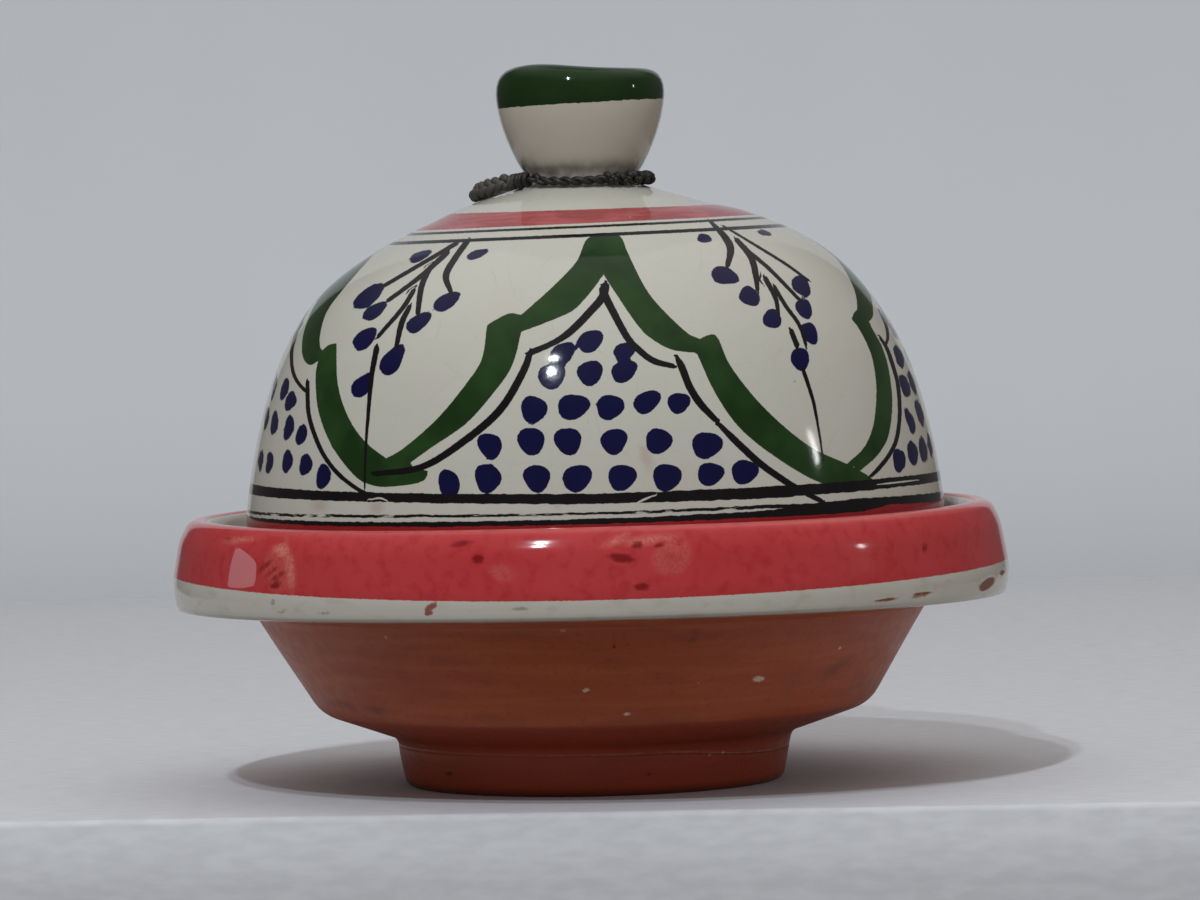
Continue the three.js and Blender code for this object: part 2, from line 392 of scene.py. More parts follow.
class Finish(Nodes):
    """A node material. A colour in it is a socket or a tuple of 0 to 255 values."""

    def __init__(self, name):
        self.material = bpy.data.materials.new(name)
        self.material.use_nodes = True
        super().__init__(self.material.node_tree)
        self.nodes.clear()
        self.place = self.add("ShaderNodeTexCoord").outputs["Object"]
        parts = self.parts(self.place)
        self.x = self.math("DIVIDE", parts["X"], MM)
        self.z = self.math("DIVIDE", parts["Z"], MM)

    def field(self, name):
        return self.add("ShaderNodeAttribute", attribute_name=name).outputs["Fac"]

    def mark(self, name, outer, inner, drift=0.0, most=1.0):
        """The most inside a marked place and 0 outside it, with a rise between two distances to its edge."""
        return self.ramp(self.math("ADD", self.field(name), drift), outer, inner, 0.0, most)

    def stretched(self, stretch):
        node = self.add("ShaderNodeMapping")
        self.links.new(self.place, node.inputs["Vector"])
        node.inputs["Scale"].default_value = stretch
        return node.outputs[0]

    def noise(self, size, detail=3.0, stretch=None):
        """Noise of 0 to 1 with features of about a size, in mm, squeezed along the axes by stretch."""
        node = self.add("ShaderNodeTexNoise")
        self.links.new(self.stretched(stretch) if stretch else self.place, node.inputs["Vector"])
        node.inputs["Scale"].default_value = 1 / (size * MM)
        node.inputs["Detail"].default_value = detail
        return node.outputs[0]

    def wander(self, size, reach, detail=2.0, stretch=None):
        """Noise about 0, to a reach either way."""
        return self.math("MULTIPLY_ADD", self.noise(size, detail, stretch), 2 * reach, -reach)

    def patches(self, size, low, high, most, detail=4.0, stretch=None, least=0.0):
        """Shares from least, where noise is low, to most, where it is high."""
        return self.ramp(self.noise(size, detail, stretch), low, high, least, most)

    def cells(self, size, feature):
        node = self.add("ShaderNodeTexVoronoi", feature=feature)
        self.links.new(self.place, node.inputs["Vector"])
        node.inputs["Scale"].default_value = 1 / (size * MM)
        return node.outputs["Distance"]

    def mix(self, share, under, over):
        node = self.add("ShaderNodeMix", data_type="RGBA")
        self.plug(node.inputs[0], share)
        for socket, colour in ((node.inputs[6], under), (node.inputs[7], over)):
            self.plug(socket, srgb(*colour) if isinstance(colour, tuple) else colour)
        return node.outputs[2]

    def mottled(self, size, first, second, detail=3.0):
        return self.mix(self.noise(size, detail), first, second)

    def layered(self, base, *layers):
        """A base colour under layers, each with its share and its colour."""
        for share, colour in layers:
            base = self.mix(share, base, colour)
        return base

    def bump(self, height, distance, strength=1.0, under=None):
        node = self.add("ShaderNodeBump")
        node.inputs["Distance"].default_value = distance * MM
        node.inputs["Strength"].default_value = strength
        self.plug(node.inputs["Height"], height)
        if under:
            self.links.new(under, node.inputs["Normal"])
        return node.outputs[0]

    def done(self, colour, roughness, normal, sheen=None):
        shader = self.add("ShaderNodeBsdfPrincipled")
        self.plug(shader.inputs["Base Color"], colour)
        self.plug(shader.inputs["Roughness"], roughness)
        self.links.new(normal, shader.inputs["Normal"])
        if sheen is not None:
            self.plug(shader.inputs["Specular IOR Level"], sheen)
        output = self.add("ShaderNodeOutputMaterial")
        self.links.new(shader.outputs[0], output.inputs["Surface"])
        return self.material


# Dish

FOOT_MID_R = (FOOT_R + FOOT_INNER_R) / 2
RIM_MID_R = (RIM_OUTER_R + RIM_INNER_R) / 2
# The red glaze ends at this height at the front, and higher at the sides
RED_EDGE_Z = 44.1
RED_EDGE_RISE = 2.4
RED_INNER_REACH = 2.3
WHITE_EDGE_Z = 39.4
# Marks on the dish: place in the picture, half sizes in pixels and tilt in degrees
MARKS = {
    "chip": (
        (921, 594.5, 13, 2.4, -10), (890, 599, 18, 1.8, -11), (988, 583, 10, 4.4, -36),
        (1003, 572, 3, 2.6, -40),
    ),
    "worn": (
        (616, 541, 12, 4, -25), (650, 540, 26, 4.5, -6), (291, 570, 4, 24, -6), (283, 549, 9, 7, 0),
        (243, 538, 15, 3, -8),
    ),
    "faded": ((672, 557, 22, 18, -30), (280, 568, 16, 25, 0), (503, 573, 14, 9, 20)),
    "pit": (
        (478, 559, 6, 5, 0), (462, 543, 10, 3, -10), (621, 558, 14, 4.5, 8), (637, 545, 6, 4, 0),
        (642, 587, 9, 4, 0), (277, 585, 6, 3.4, -10), (279, 576, 8, 2, -30), (266, 566, 8, 2, -42),
        (273, 571, 8, 1.6, -38), (660, 545, 6, 2.6, -20), (680, 543, 4, 2.4, 0), (925, 548, 2.6, 4, 0),
        (229, 538, 3, 2, 20),
    ),
    "drip": ((434, 606, 3.2, 4, 20), (429, 614, 4, 3.6, 0), (425, 610, 2.4, 2.4, 0)),
    "scuff": ((284, 611, 5, 1.6, -10), (325, 613, 6, 1.6, 0), (274, 602, 2.6, 2.8, 30), (520, 610, 8, 2, 0)),
    "lime": (
        (585, 690, 4, 2.4, 0), (625, 714, 3.5, 2, 0), (758, 679, 6, 3, 0), (698, 682, 1.6, 1.4, 0),
        (840, 648, 1.6, 2.4, 0), (723, 753, 1.8, 1.8, 0),
    ),
    "hole": ((449, 774, 4, 2.4, -20), (614, 647, 2, 2, 0), (649, 775, 3, 2, 0)),
    "smudge": ((342, 704, 22, 4.5, 8), (374, 709, 18, 4, 8), (695, 636, 26, 7, -12), (836, 668, 24, 5, -30)),
}
FAR = 10.0
# A pale patch with straight sides on the left of the flange, as runs of points from corner to corner
PATCH = (
    ((228, 587), (231, 566)),
    ((237, 545), (250, 555)),
    ((257, 562), (257, 575)),
    ((255, 586), (242, 588)),
)
# The ridge round the foot, which dips at the right and fades at the left
RIDGE_Z = 8.9
RIDGE_DIP = 1.6
RIDGE_DIP_X = (15, 38)
RIDGE_HALF_H = 0.45
RIDGE_FADE_X = (-20, 30)
RIDGE_FAINT = 0.25
# The round outer side of the rim
RIM_SIDE_OUT = 1.1
RIM_SIDE_DROP = 4.4
RIM_TOP_IN = 0.8
RIM_TOP_DROP = 0.7
# Rounds of the dish's corners
RECESS_ROUND = 1.6
FOOT_ROUND = 1.8
FOOT_RIDGE_ROUND = 0.6
BELLY_ROUND = 3
BOWL_TOP_ROUND = 1
FLANGE_LOW_ROUND = 0.6
FLANGE_ROUND = 3
RIM_SIDE_ROUND = 4
RIM_TOP_ROUND = 1.8
LEDGE_ROUND = 2
MOUTH_ROUND = 8
BOWL_ROUND = 9
# Unevenness of the dish: waves round it as reach, count and start, and the places between which they set in
# or end
DISH_SWAY = ((0.22, 2, 0.6), (0.12, 3, 2.1), (0.05, 7, 0))
DISH_SWAY_FROM_R = (20, 90)
DISH_SWAY_FROM_Z = (3, 20)
RIM_SWAY = ((0.4, 1, -math.pi / 2), (-0.1, 0, 0), (0.12, 5, 0))
RIM_SWAY_FROM_R = (78, 84)
RIM_SWAY_FROM_Z = (52, 58)
EDGE_SWAY = ((0.5, 2, 0),)
EDGE_SWAY_FROM_R = (76, 88)
EDGE_SWAY_ENDS_Z = (40, 47)
BELLY_FROM_Z = (6, 15)
BELLY_ENDS_Z = (16, 34)
CHIP_DEPTH = 0.15
CHIP_SLOPE = (-0.6, 0.2)


def dish_rows():
    """The dish's outline from the middle of its underside to the middle of its floor, and the rim's row."""
    under = spaced(rounded((
        (0, FOOT_RECESS),
        (FOOT_INNER_R, FOOT_RECESS, RECESS_ROUND),
        (FOOT_INNER_R, 0, FOOT_ROUND),
        (FOOT_MID_R, 0),
    )), COARSE_STEP)
    outside = spaced(rounded((
        (FOOT_MID_R, 0),
        (FOOT_R, 0, FOOT_ROUND),
        (FOOT_R + FOOT_RIDGE_OUT, FOOT_H - FOOT_RIDGE_DROP, FOOT_RIDGE_ROUND),
        (FOOT_R + FOOT_FLARE, FOOT_H, FOOT_ROUND),
        (BELLY_R, BELLY_Z, BELLY_ROUND),
        (BOWL_TOP_R, FLANGE_Z, BOWL_TOP_ROUND),
        (FLANGE_R - FLANGE_EDGE_IN, FLANGE_LOW_Z, FLANGE_LOW_ROUND),
        (FLANGE_R, FLANGE_WIDEST_Z, FLANGE_ROUND),
        (RIM_OUTER_R + RIM_SIDE_OUT, RIM_Z - RIM_SIDE_DROP, RIM_SIDE_ROUND),
        (RIM_OUTER_R - RIM_TOP_IN, RIM_Z - RIM_TOP_DROP, RIM_TOP_ROUND),
        (RIM_MID_R, RIM_Z),
    )), FINE_STEP)
    inside = spaced(rounded((
        (RIM_MID_R, RIM_Z),
        (RIM_INNER_R, RIM_Z, LEDGE_ROUND),
        (LEDGE_R, LEDGE_Z, LEDGE_ROUND),
        (MOUTH_R, LEDGE_Z, LEDGE_ROUND),
        (MOUTH_R, FLANGE_Z, MOUTH_ROUND),
        (BOWL_INNER_R, BOWL_INNER_Z, BOWL_ROUND),
        (FOOT_INNER_R, BOWL_FLOOR_Z, BOWL_ROUND),
        (0, BOWL_FLOOR_Z),
    )), COARSE_STEP / 2)
    return joined(under, outside, inside), len(under) + len(outside) - 2


def spots(pixels, places, uneven=0.0):
    """Distance, in mm, from points of the picture to the nearest of some ellipses; negative inside.

    Uneven ellipses have three blunt corners, one of them along their tilt.
    """
    nearest = np.full(len(pixels), FAR)
    for x, y, half_w, half_h, tilt in places:
        turn = math.radians(tilt)
        off = pixels - (x, y)
        across = (off[:, 0] * math.cos(turn) + off[:, 1] * math.sin(turn)) / half_w
        up = (off[:, 1] * math.cos(turn) - off[:, 0] * math.sin(turn)) / half_h
        reach = 1 + uneven * np.cos(3 * np.arctan2(up, across))
        nearest = np.minimum(nearest, (np.hypot(across, up) - reach) * min(half_w, half_h) * PIXEL)
    return nearest


def dish_marks(points, inside, past_rim):
    """Distances, in mm, from the dish's points to its marks and to the edges of its glazes."""
    z = points[:, 2]
    seen = (points[:, 1] < 0) & ~inside
    pixels = photo_pixels(points)
    marks = {name: np.where(seen, spots(pixels, places), FAR) for name, places in MARKS.items()}
    marks["patch"] = np.full(len(points), FAR)
    near = np.flatnonzero(seen & (z > RED_EDGE_Z) & (points[:, 0] < -FLANGE_R / 2))
    marks["patch"][near] = shape_gap(pixels[near], closed_shape(PATCH)) * PIXEL
    red_edge = RED_EDGE_Z + RED_EDGE_RISE * np.sin(np.radians(azimuth(points))) ** 2
    marks["red"] = np.where(inside, RED_INNER_REACH - past_rim, z - red_edge)
    marks["glaze"] = np.where(inside, FAR, z - WHITE_EDGE_Z)
    return marks


def make_dish():
    rows, rim_row = dish_rows()
    points, faces = turned(rows, DISH_SIDES)
    angle = np.radians(azimuth(points))
    r = np.hypot(points[:, 0], points[:, 1])
    z = points[:, 2].copy()
    inside = per_row(np.arange(len(rows)) > rim_row, DISH_SIDES)
    past_rim = per_row(np.concatenate((np.zeros(rim_row), travelled(rows[rim_row:]))), DISH_SIDES)
    marks = dish_marks(points, inside, past_rim)

    loose = step_up(r, *DISH_SWAY_FROM_R) * step_up(z, *DISH_SWAY_FROM_Z)
    dented = CHIP_DEPTH * (1 - step_up(marks["chip"], *CHIP_SLOPE))
    grow(points, waves(angle, DISH_SWAY) * loose - dented)
    points[:, 0] += BELLY_SET_RIGHT * step_up(z, *BELLY_FROM_Z) * (1 - step_up(z, *BELLY_ENDS_Z)) * ~inside
    rim = step_up(z, *RIM_SWAY_FROM_Z) * step_up(r, *RIM_SWAY_FROM_R)
    edge = step_up(r, *EDGE_SWAY_FROM_R) * (1 - step_up(z, *EDGE_SWAY_ENDS_Z))
    points[:, 2] += waves(angle, RIM_SWAY) * rim + waves(angle, EDGE_SWAY) * edge

    dish = mesh_object("painted_dish", points, faces)
    for name, values in marks.items():
        set_field(dish, name, values)
    dish.data.materials.append(dish_finish())
    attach(dish, "dish")
    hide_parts("dish")


def foot_ridge(finish):
    """1 on the ridge round the foot and 0 away from it."""
    height = finish.ramp(finish.x, *RIDGE_DIP_X, RIDGE_Z, RIDGE_Z - RIDGE_DIP)
    off = finish.math("ABSOLUTE", finish.math("SUBTRACT", finish.z, height))
    return finish.times(
        finish.ramp(off, RIDGE_HALF_H, 0.0),
        finish.ramp(finish.x, *RIDGE_FADE_X, RIDGE_FAINT, 1.0),
    )


def clay_colour(finish, thrown):
    """Bare terracotta with throwing marks, smears and specks of lime, darker towards the bottom of the foot,
    with painted shade under the belly and a paler ridge round the foot that is partly crumbs and partly a
    painted glint of light.
    """
    smudged = finish.times(finish.mark("smudge", 0.6, -0.8), finish.patches(5, 0.35, 0.6, 0.4, 5))
    # The ridge's pale colour is partly crumbs of clay and partly a painted glint of light on the ridge
    ridge_crumbs_and_glint = finish.times(foot_ridge(finish), finish.patches(1.6, 0.35, 0.7, 0.6, 4, (1, 1, 2), 0.1))
    stray = finish.math("ADD", finish.cells(15, "F1"), finish.wander(1.1, 0.04))
    return finish.layered(
        finish.mottled(34, (162, 78, 41), (148, 66, 34)),
        (finish.ramp(thrown, 0.4, 0.7, 0.0, 0.45), (171, 90, 50)),
        (finish.patches(1.3, 0.52, 0.75, 0.4), (126, 53, 28)),
        (finish.patches(17, 0.52, 0.7, 0.35, 5, (1, 1, 3)), (122, 56, 31)),
        # Painted shade: the clay is painted darker below the belly's corner, where the belly shades the foot
        (finish.ramp(finish.z, 16.7, 15.9, 0.0, 0.75), (133, 46, 26)),
        (smudged, (74, 34, 24)),
        (ridge_crumbs_and_glint, (186, 128, 104)),
        (finish.ramp(finish.z, 2.4, 0.4, 0.0, 0.5), (66, 26, 17)),
        (finish.mark("hole", 0.2, -0.2, most=0.8), (44, 18, 13)),
        (finish.ramp(stray, 0.02, 0.05, 0.5, 0.0), (186, 146, 124)),
        (finish.mark("lime", 0.15, -0.15, finish.wander(0.9, 0.15), 0.9), (204, 176, 156)),
    )


def white_colour(finish):
    """White glaze on the lower edge of the flange, thin and stained in places."""
    return finish.layered(
        finish.mottled(20, (176, 172, 161), (184, 181, 171)),
        (finish.patches(5, 0.52, 0.75, 0.4, 4, (1, 1, 2)), (158, 148, 132)),
        (finish.ramp(finish.field("glaze"), 0.9, 0.0, 0.0, 0.3), (150, 132, 112)),
        (finish.mark("scuff", 0.25, -0.1, finish.wander(0.8, 0.2), 0.5), (96, 88, 80)),
        (finish.mark("drip", 0.25, -0.05, finish.wander(0.8, 0.15), 0.85), (122, 34, 30)),
    )


def red_colour(finish):
    """Red glaze on the flange, worn pale in places, with a pale patch and pits."""
    grain = finish.patches(0.6, 0.3, 0.7, 1.0, 5, least=0.3)

    def worn(name, most):
        return finish.times(finish.mark(name, 0.7, -1.0, finish.wander(4, 0.5), most), grain)

    return finish.layered(
        finish.mottled(24, (163, 41, 45), (173, 62, 65), 4),
        (finish.patches(2.6, 0.45, 0.75, 0.45), (147, 24, 28)),
        (finish.ramp(finish.z, RIM_Z - 1.2, RIM_Z - 0.1, 0.0, 0.3), (196, 118, 112)),
        (worn("faded", 0.13), (208, 150, 132)),
        (worn("worn", 0.45), (208, 150, 132)),
        (finish.mark("patch", 0.08, -0.08, finish.wander(1.2, 0.1), 0.75), (192, 120, 124)),
        (finish.mark("pit", 0.35, -0.35, finish.wander(1.5, 0.35, 5), 0.85), (106, 8, 13)),
    )


def dish_finish():
    finish = Finish("dish_earthenware")
    thrown = finish.noise(26, detail=4, stretch=(1, 1, 14))
    red_edge = finish.math("ADD", finish.field("red"), finish.wander(0.9, 0.18, detail=4))
    coat = finish.mix(finish.ramp(red_edge, -0.1, 0.12), white_colour(finish), red_colour(finish))
    glaze_edge = finish.math("ADD", finish.field("glaze"), finish.wander(7, 0.35, detail=4))
    chipped = finish.mark("chip", 0.12, -0.12, finish.wander(1.6, 0.14))
    glazed = finish.times(finish.ramp(glaze_edge, -0.1, 0.15), finish.math("SUBTRACT", 1.0, chipped))
    bare = finish.math("SUBTRACT", 1.0, glazed)
    colour = finish.layered(clay_colour(finish, thrown), (chipped, (112, 62, 38)), (glazed, coat))

    roughness = finish.ramp(glazed, 0.0, 1.0, finish.patches(3, 0.2, 0.8, 0.5, least=0.36), 0.1)
    normal = finish.bump(finish.times(thrown, bare), 0.25, 0.4)
    normal = finish.bump(finish.times(finish.noise(0.7, 4), bare), 0.12, 0.5, normal)
    normal = finish.bump(foot_ridge(finish), 0.4, 0.8, normal)
    normal = finish.bump(finish.noise(9, 2), 0.12, 0.4, normal)
    normal = finish.bump(glazed, 0.06, 0.5, normal)
    return finish.done(colour, roughness, normal, finish.ramp(glazed, 0.0, 1.0, CLAY_SHEEN, SHEEN))


# Lid

LID_FOOT_ROUND = 1.8
KNOB_CUP_ROUND = 3
KNOB_SIDE_STEPS = 40
KNOB_RIM_STEPS = 20
# Unevenness of the lid: its place, waves round it, the lean of its shoulder up to the right, and the crest at
# the left of its knob
LID_SET_RIGHT = 1.3
LID_SET_ENDS_Z = (112, 130)
LID_SWAY = ((0.2, 2, 2.2), (0.1, 3, 0.4))
LID_SWAY_FROM_R = (32, 75)
SHOULDER_LEAN = 0.024
LEAN_FROM_Z = (100, 120)
LEAN_FROM_R = (24, 34)
CREST_FROM_Z = (KNOB_WIDEST_Z - 2, KNOB_TOP_Z)
CREST_FROM_R = (8, 12)
CREST_H = 1.15
CREST_TURN = -0.75
CREST_HALF_W = 0.8
CREST_DROP = 0.1
# Edge of the paint, blunt ends of the brush strokes, and the lower edge of the knob's green, which tilts
PAINT_EDGE = 0.08
STROKE_END = 0.45
GREEN_EDGE_Z = 145.7
KNOB_TILT = 0.039
# Rings round the lid: middle height and half height
SHOULDER_RED = (121.65, 1.45)
SHOULDER_RINGS = ((119.5, 0.25), (117.7, 0.35))
# Rings at the foot, which the brush drew unevenly: degrees from the front, middle height and half height
FOOT_RINGS = {
    "band": (
        (-75, 65, 1.1), (-35, 64.7, 0.95), (0, 64.1, 1.05), (30, 64.2, 1.2), (60, 64.6, 1.05), (90, 64.4, 1),
    ),
    "dry_ring": (
        (-75, 60.2, 0.3), (-35, 60.9, 0.3), (0, 61.1, 0.25), (28, 61.3, 0.4), (40, 60.9, 0.5),
        (75, 60.3, 0.3),
    ),
    "low_ring": (
        (-75, 58.9, 0.4), (-35, 59.2, 0.5), (0, 59.5, 0.55), (28, 59.8, 0.65), (38, 60.3, 1.25),
        (48, 60.5, 1.4), (56, 60.9, 0.8), (75, 60.3, 1), (120, 59.4, 0.6),
    ),
}
FOOT_PAINT_Z = 58.4

# Brushwork on the front of the lid, by its place in the picture. A shape is made of runs of points, and each
# run goes on to the corner where the next one starts.
ARCH_LEFT = (
    ((608, 268), (612, 250), (610, 237), (588, 238), (576, 262), (551, 288)),
    ((521, 315), (510, 313), (499, 318)),
    ((487, 325), (483, 355), (472, 376), (439, 417), (404, 448)),
    ((385, 459), (368, 468), (390, 474)),
    ((405, 467), (431, 448), (467, 423), (496, 390), (510, 370), (517, 351)),
    ((521, 332), (555, 319), (575, 309), (594, 288), (603, 275)),
)
ARCH_RIGHT = (
    ((603, 274), (603, 250), (603, 236), (620, 237), (629, 256), (650, 295), (684, 330)),
    ((700, 339), (706, 336), (714, 334)),
    ((719, 339), (733, 369), (767, 410), (810, 446), (848, 464), (868, 475)),
    ((878, 483), (876, 490), (855, 489), (822, 483), (785, 463), (743, 431), (716, 394)),
    ((697, 353), (673, 350), (655, 341), (639, 327), (612, 288)),
)
# Black lines: place and half width
ARCH_LINES = (
    ((605, 287, 4.8), (602, 298, 4.2), (586, 316, 3.9), (571, 331, 3.8), (555, 342, 3), (530, 353, 3.2)),
    ((530, 353, 3.2), (523, 372, 3.8), (500, 410, 4), (463, 442, 3.8), (422, 467, 3.4), (375, 474, 2.6)),
    ((603, 290, 4.4), (607, 300, 4), (627, 337, 3.6), (639, 350, 3.4), (654, 361, 3.2), (673, 366, 2.6)),
    ((677, 358, 2.4), (682, 367, 3.8), (689, 385, 3.8), (700, 403, 3.8), (716, 420, 3)),
    ((719, 424, 2.4), (737, 442, 3.6), (760, 463, 3.6), (781, 478, 3.4), (797, 488, 3.2), (822, 501, 2.4)),
)
# Blue dabs: place and full size
ARCH_DOTS = (
    (590, 341, 26, 20), (563, 353, 25, 19), (625, 351, 24, 17), (552, 376, 26, 24), (590, 373, 26, 23),
    (624, 371, 27, 20), (534, 409, 25, 26), (573, 407, 32, 24), (610, 407, 26, 24), (647, 402, 28, 20),
    (679, 403, 22, 20), (490, 446, 22, 27), (531, 441, 25, 27), (568, 441, 25, 27), (614, 441, 26, 24),
    (659, 441, 26, 24), (707, 445, 30, 25), (449, 484, 20, 29), (488, 478, 25, 28), (537, 478, 25, 27),
    (577, 478, 29, 25), (622, 477, 27, 24), (667, 477, 28, 26), (711, 474, 26, 22), (745, 472, 26, 23),
)
DOT_TILT = -24
DOT_TILT_SPREAD = 18
DOT_SEED = 4
# How much wider the paint of each kind of dab ran
DOT_SPREAD = 1.06
BERRY_SPREAD = 0.95
SIDE_SPREAD = 0.9
# How far a dab departs from an oval
DAB_UNEVEN = 0.065
# Sprigs: lines as above, berries with place, full size and tilt
LEFT_SPRIG_LINES = (
    ((457, 240, 2.4), (420, 262, 2.2), (384, 284, 2.2)),
    ((447, 250, 3), (420, 275, 2.6), (388, 300, 2.2)),
    ((467, 239, 3), (455, 256, 3.2), (446, 274, 3.4), (451, 291, 2.4)),
    ((431, 264, 2.6), (422, 284, 3), (418, 313, 2.6)),
    ((414, 289, 2.4), (402, 309, 2.4), (378, 337, 2)),
    ((410, 306, 2.4), (402, 323, 3), (397, 345, 2.4)),
    ((377, 348, 3), (372, 376, 2.6), (369, 409, 2), (366, 450, 1.3), (365, 489, 0.9)),
)
LEFT_SPRIG_BERRIES = (
    (369, 295, 40, 17, -42), (375, 311, 31, 14, -38), (447, 301, 33, 16, -34), (419, 322, 30, 16, -36),
    (365, 339, 30, 19, -42), (393, 360, 37, 20, -56), (363, 385, 30, 18, -50), (420, 253, 27, 10, -26),
    (477, 252, 23, 9, -20),
)
RIGHT_SPRIG_LINES = (
    ((710, 224, 1.6), (725, 240, 3.2), (731, 252, 3.8), (728, 267, 2.6)),
    ((737, 243, 2.4), (751, 259, 3.2), (756, 275, 3.2), (758, 291, 2)),
    ((723, 229, 1), (755, 248, 1.3), (787, 267, 1.4), (809, 282, 1.2)),
    ((746, 252, 2), (771, 272, 1.9), (800, 300, 1.8)),
    ((766, 280, 2.6), (776, 298, 2.4), (779, 314, 2)),
    ((775, 288, 2), (787, 307, 2.1), (800, 325, 2), (807, 346, 1.6)),
    ((792, 331, 2.6), (798, 346, 2.8)),
    ((804, 370, 2.2), (814, 401, 1.8), (820, 433, 1.3), (824, 460, 0.9)),
)
RIGHT_SPRIG_BERRIES = (
    (725, 277, 30, 18, 16), (750, 297, 24, 18, 30), (773, 319, 21, 20, 40), (802, 287, 24, 17, 50),
    (805, 309, 23, 16, 65), (810, 333, 26, 17, 62), (801, 359, 25, 20, 80), (704, 241, 16, 9, 8),
    (765, 237, 16, 6, 18), (796, 382, 3.4, 3.4, 0), (587, 423, 4, 4, 0),
)
# Green strands of the arches to the left and to the right, with their lines and dabs
SIDE_STRANDS = (
    (
        ((373, 251), (357, 270), (340, 292), (328, 310), (322, 327), (320, 343)),
        ((323, 353), (318, 361), (311, 365), (305, 361)),
        ((302, 352), (303, 337), (307, 323), (313, 308), (323, 292), (340, 270), (353, 257)),
        ((366, 248),),
    ),
    (
        ((823, 248), (843, 270), (853, 287), (857, 300), (858, 312)),
        ((862, 320), (868, 322), (873, 317), (873, 308), (871, 298), (867, 288), (857, 273), (838, 255)),
        ((825, 246),),
    ),
    (
        ((337, 343), (337, 363), (338, 382), (343, 403), (353, 425), (367, 443)),
        ((386, 458), (405, 464)),
        ((428, 471), (426, 479), (414, 484), (385, 487), (372, 485), (360, 480), (347, 467)),
        ((333, 448), (324, 428), (318, 407), (316, 383), (317, 367), (322, 352), (329, 345)),
    ),
    (
        ((852, 319), (859, 328), (868, 345), (874, 363), (877, 387), (876, 413), (872, 433), (863, 450)),
        ((848, 463),),
        ((862, 470), (877, 457), (887, 442), (891, 427), (893, 407), (892, 387), (888, 363)),
        ((882, 345), (872, 327), (864, 312), (856, 311)),
    ),
)
SIDE_LINES = (
    ((302, 320, 1.6), (296, 335, 1.8), (292, 352, 1.8), (293, 370, 1.8), (298, 382, 1.9), (306, 391, 1.9)),
    (
        (308, 382, 2), (308, 395, 2.2), (309, 413, 2.2), (314, 432, 2.3), (323, 453, 2.3), (335, 470, 2.3),
        (348, 482, 2.2), (363, 492, 2), (374, 495, 1.6),
    ),
    ((878, 309, 0.8), (882, 316, 1.2), (886, 325, 1.4), (888, 337, 1.5), (886, 345, 1.4)),
    (
        (880, 337, 1.4), (887, 348, 1.8), (893, 365, 2), (898, 383, 2), (900, 403, 2), (900, 420, 2),
        (897, 440, 2.1), (890, 455, 2.2), (880, 468, 2.2), (872, 476, 1.8),
    ),
)
SIDE_DABS = (
    (285, 389, 8.5, 22, 15), (291, 401, 12, 21, 18), (275, 423, 8, 24, 8), (289, 427, 11, 26, 8),
    (302, 435, 12, 21, 14),
    (261, 461, 5.5, 22, 6), (270, 462, 8.5, 24, 6), (288, 461, 12, 24, 6), (306, 465, 14.5, 23, 10),
    (324, 476, 16.5, 25, 8), (267, 420, 4.5, 25, 8), (275, 387, 3.5, 25, 12),
    (899, 356, 9, 25, -18), (905, 386, 10, 25, -16), (912, 382, 7, 24, -18), (911, 422, 9, 28, -16),
    (920, 414, 7, 26, -16), (900, 461, 13.5, 25, -4), (913, 453, 11.5, 26, -8), (923, 450, 8.5, 26, -10),
    (930, 446, 5, 25, -12), (892, 328, 5, 22, -25), (573, 505, 3, 5, 0),
)
# Scratches through the band, and faint stains
SCRATCHES = (
    ((635, 504, 0.6), (643, 500, 1), (655, 495, 0.6)),
    ((874, 485, 0.3), (898, 482.4, 0.9), (918, 480, 0.5)),
    ((370, 500, 0.5), (380, 498, 0.9), (388, 501, 0.5)),
)
STAINS = ((320, 505, 9, 7, 0), (377, 507, 8, 8, 0), (557, 503, 5, 6, 0), (647, 459, 6, 14, -20))
# Degrees round the lid of the arch's foot, lobe, apex, lobe and foot, and the same for each arch. The last
# two arches run the other way round.
ARCH_TURNS = (-36, -16, 5, 23, 51)
ARCHES = (
    ARCH_TURNS,
    (48, 64, 93, 119, 146),
    (-139, -155, -176, -190, -214),
    (-37, -57, -93, -114, -139),
)
ARCH_MARGIN = 14
# A sprig stands between every two arches, turned from the front by this many degrees
SPRIGS = (
    (LEFT_SPRIG_LINES, LEFT_SPRIG_BERRIES, 0),
    (RIGHT_SPRIG_LINES, RIGHT_SPRIG_BERRIES, 0),
    (RIGHT_SPRIG_LINES, RIGHT_SPRIG_BERRIES, 99),
    (LEFT_SPRIG_LINES, LEFT_SPRIG_BERRIES, -87),
)
SPRIG_REACH = 72
# Degrees to either side as far as the front shows the paint, and from where the other arches have lines and
# dabs
FRONT_REACH = 82
LINE_REACH = 78.5
DAB_REACH = 85
FAR_PX = 40.0


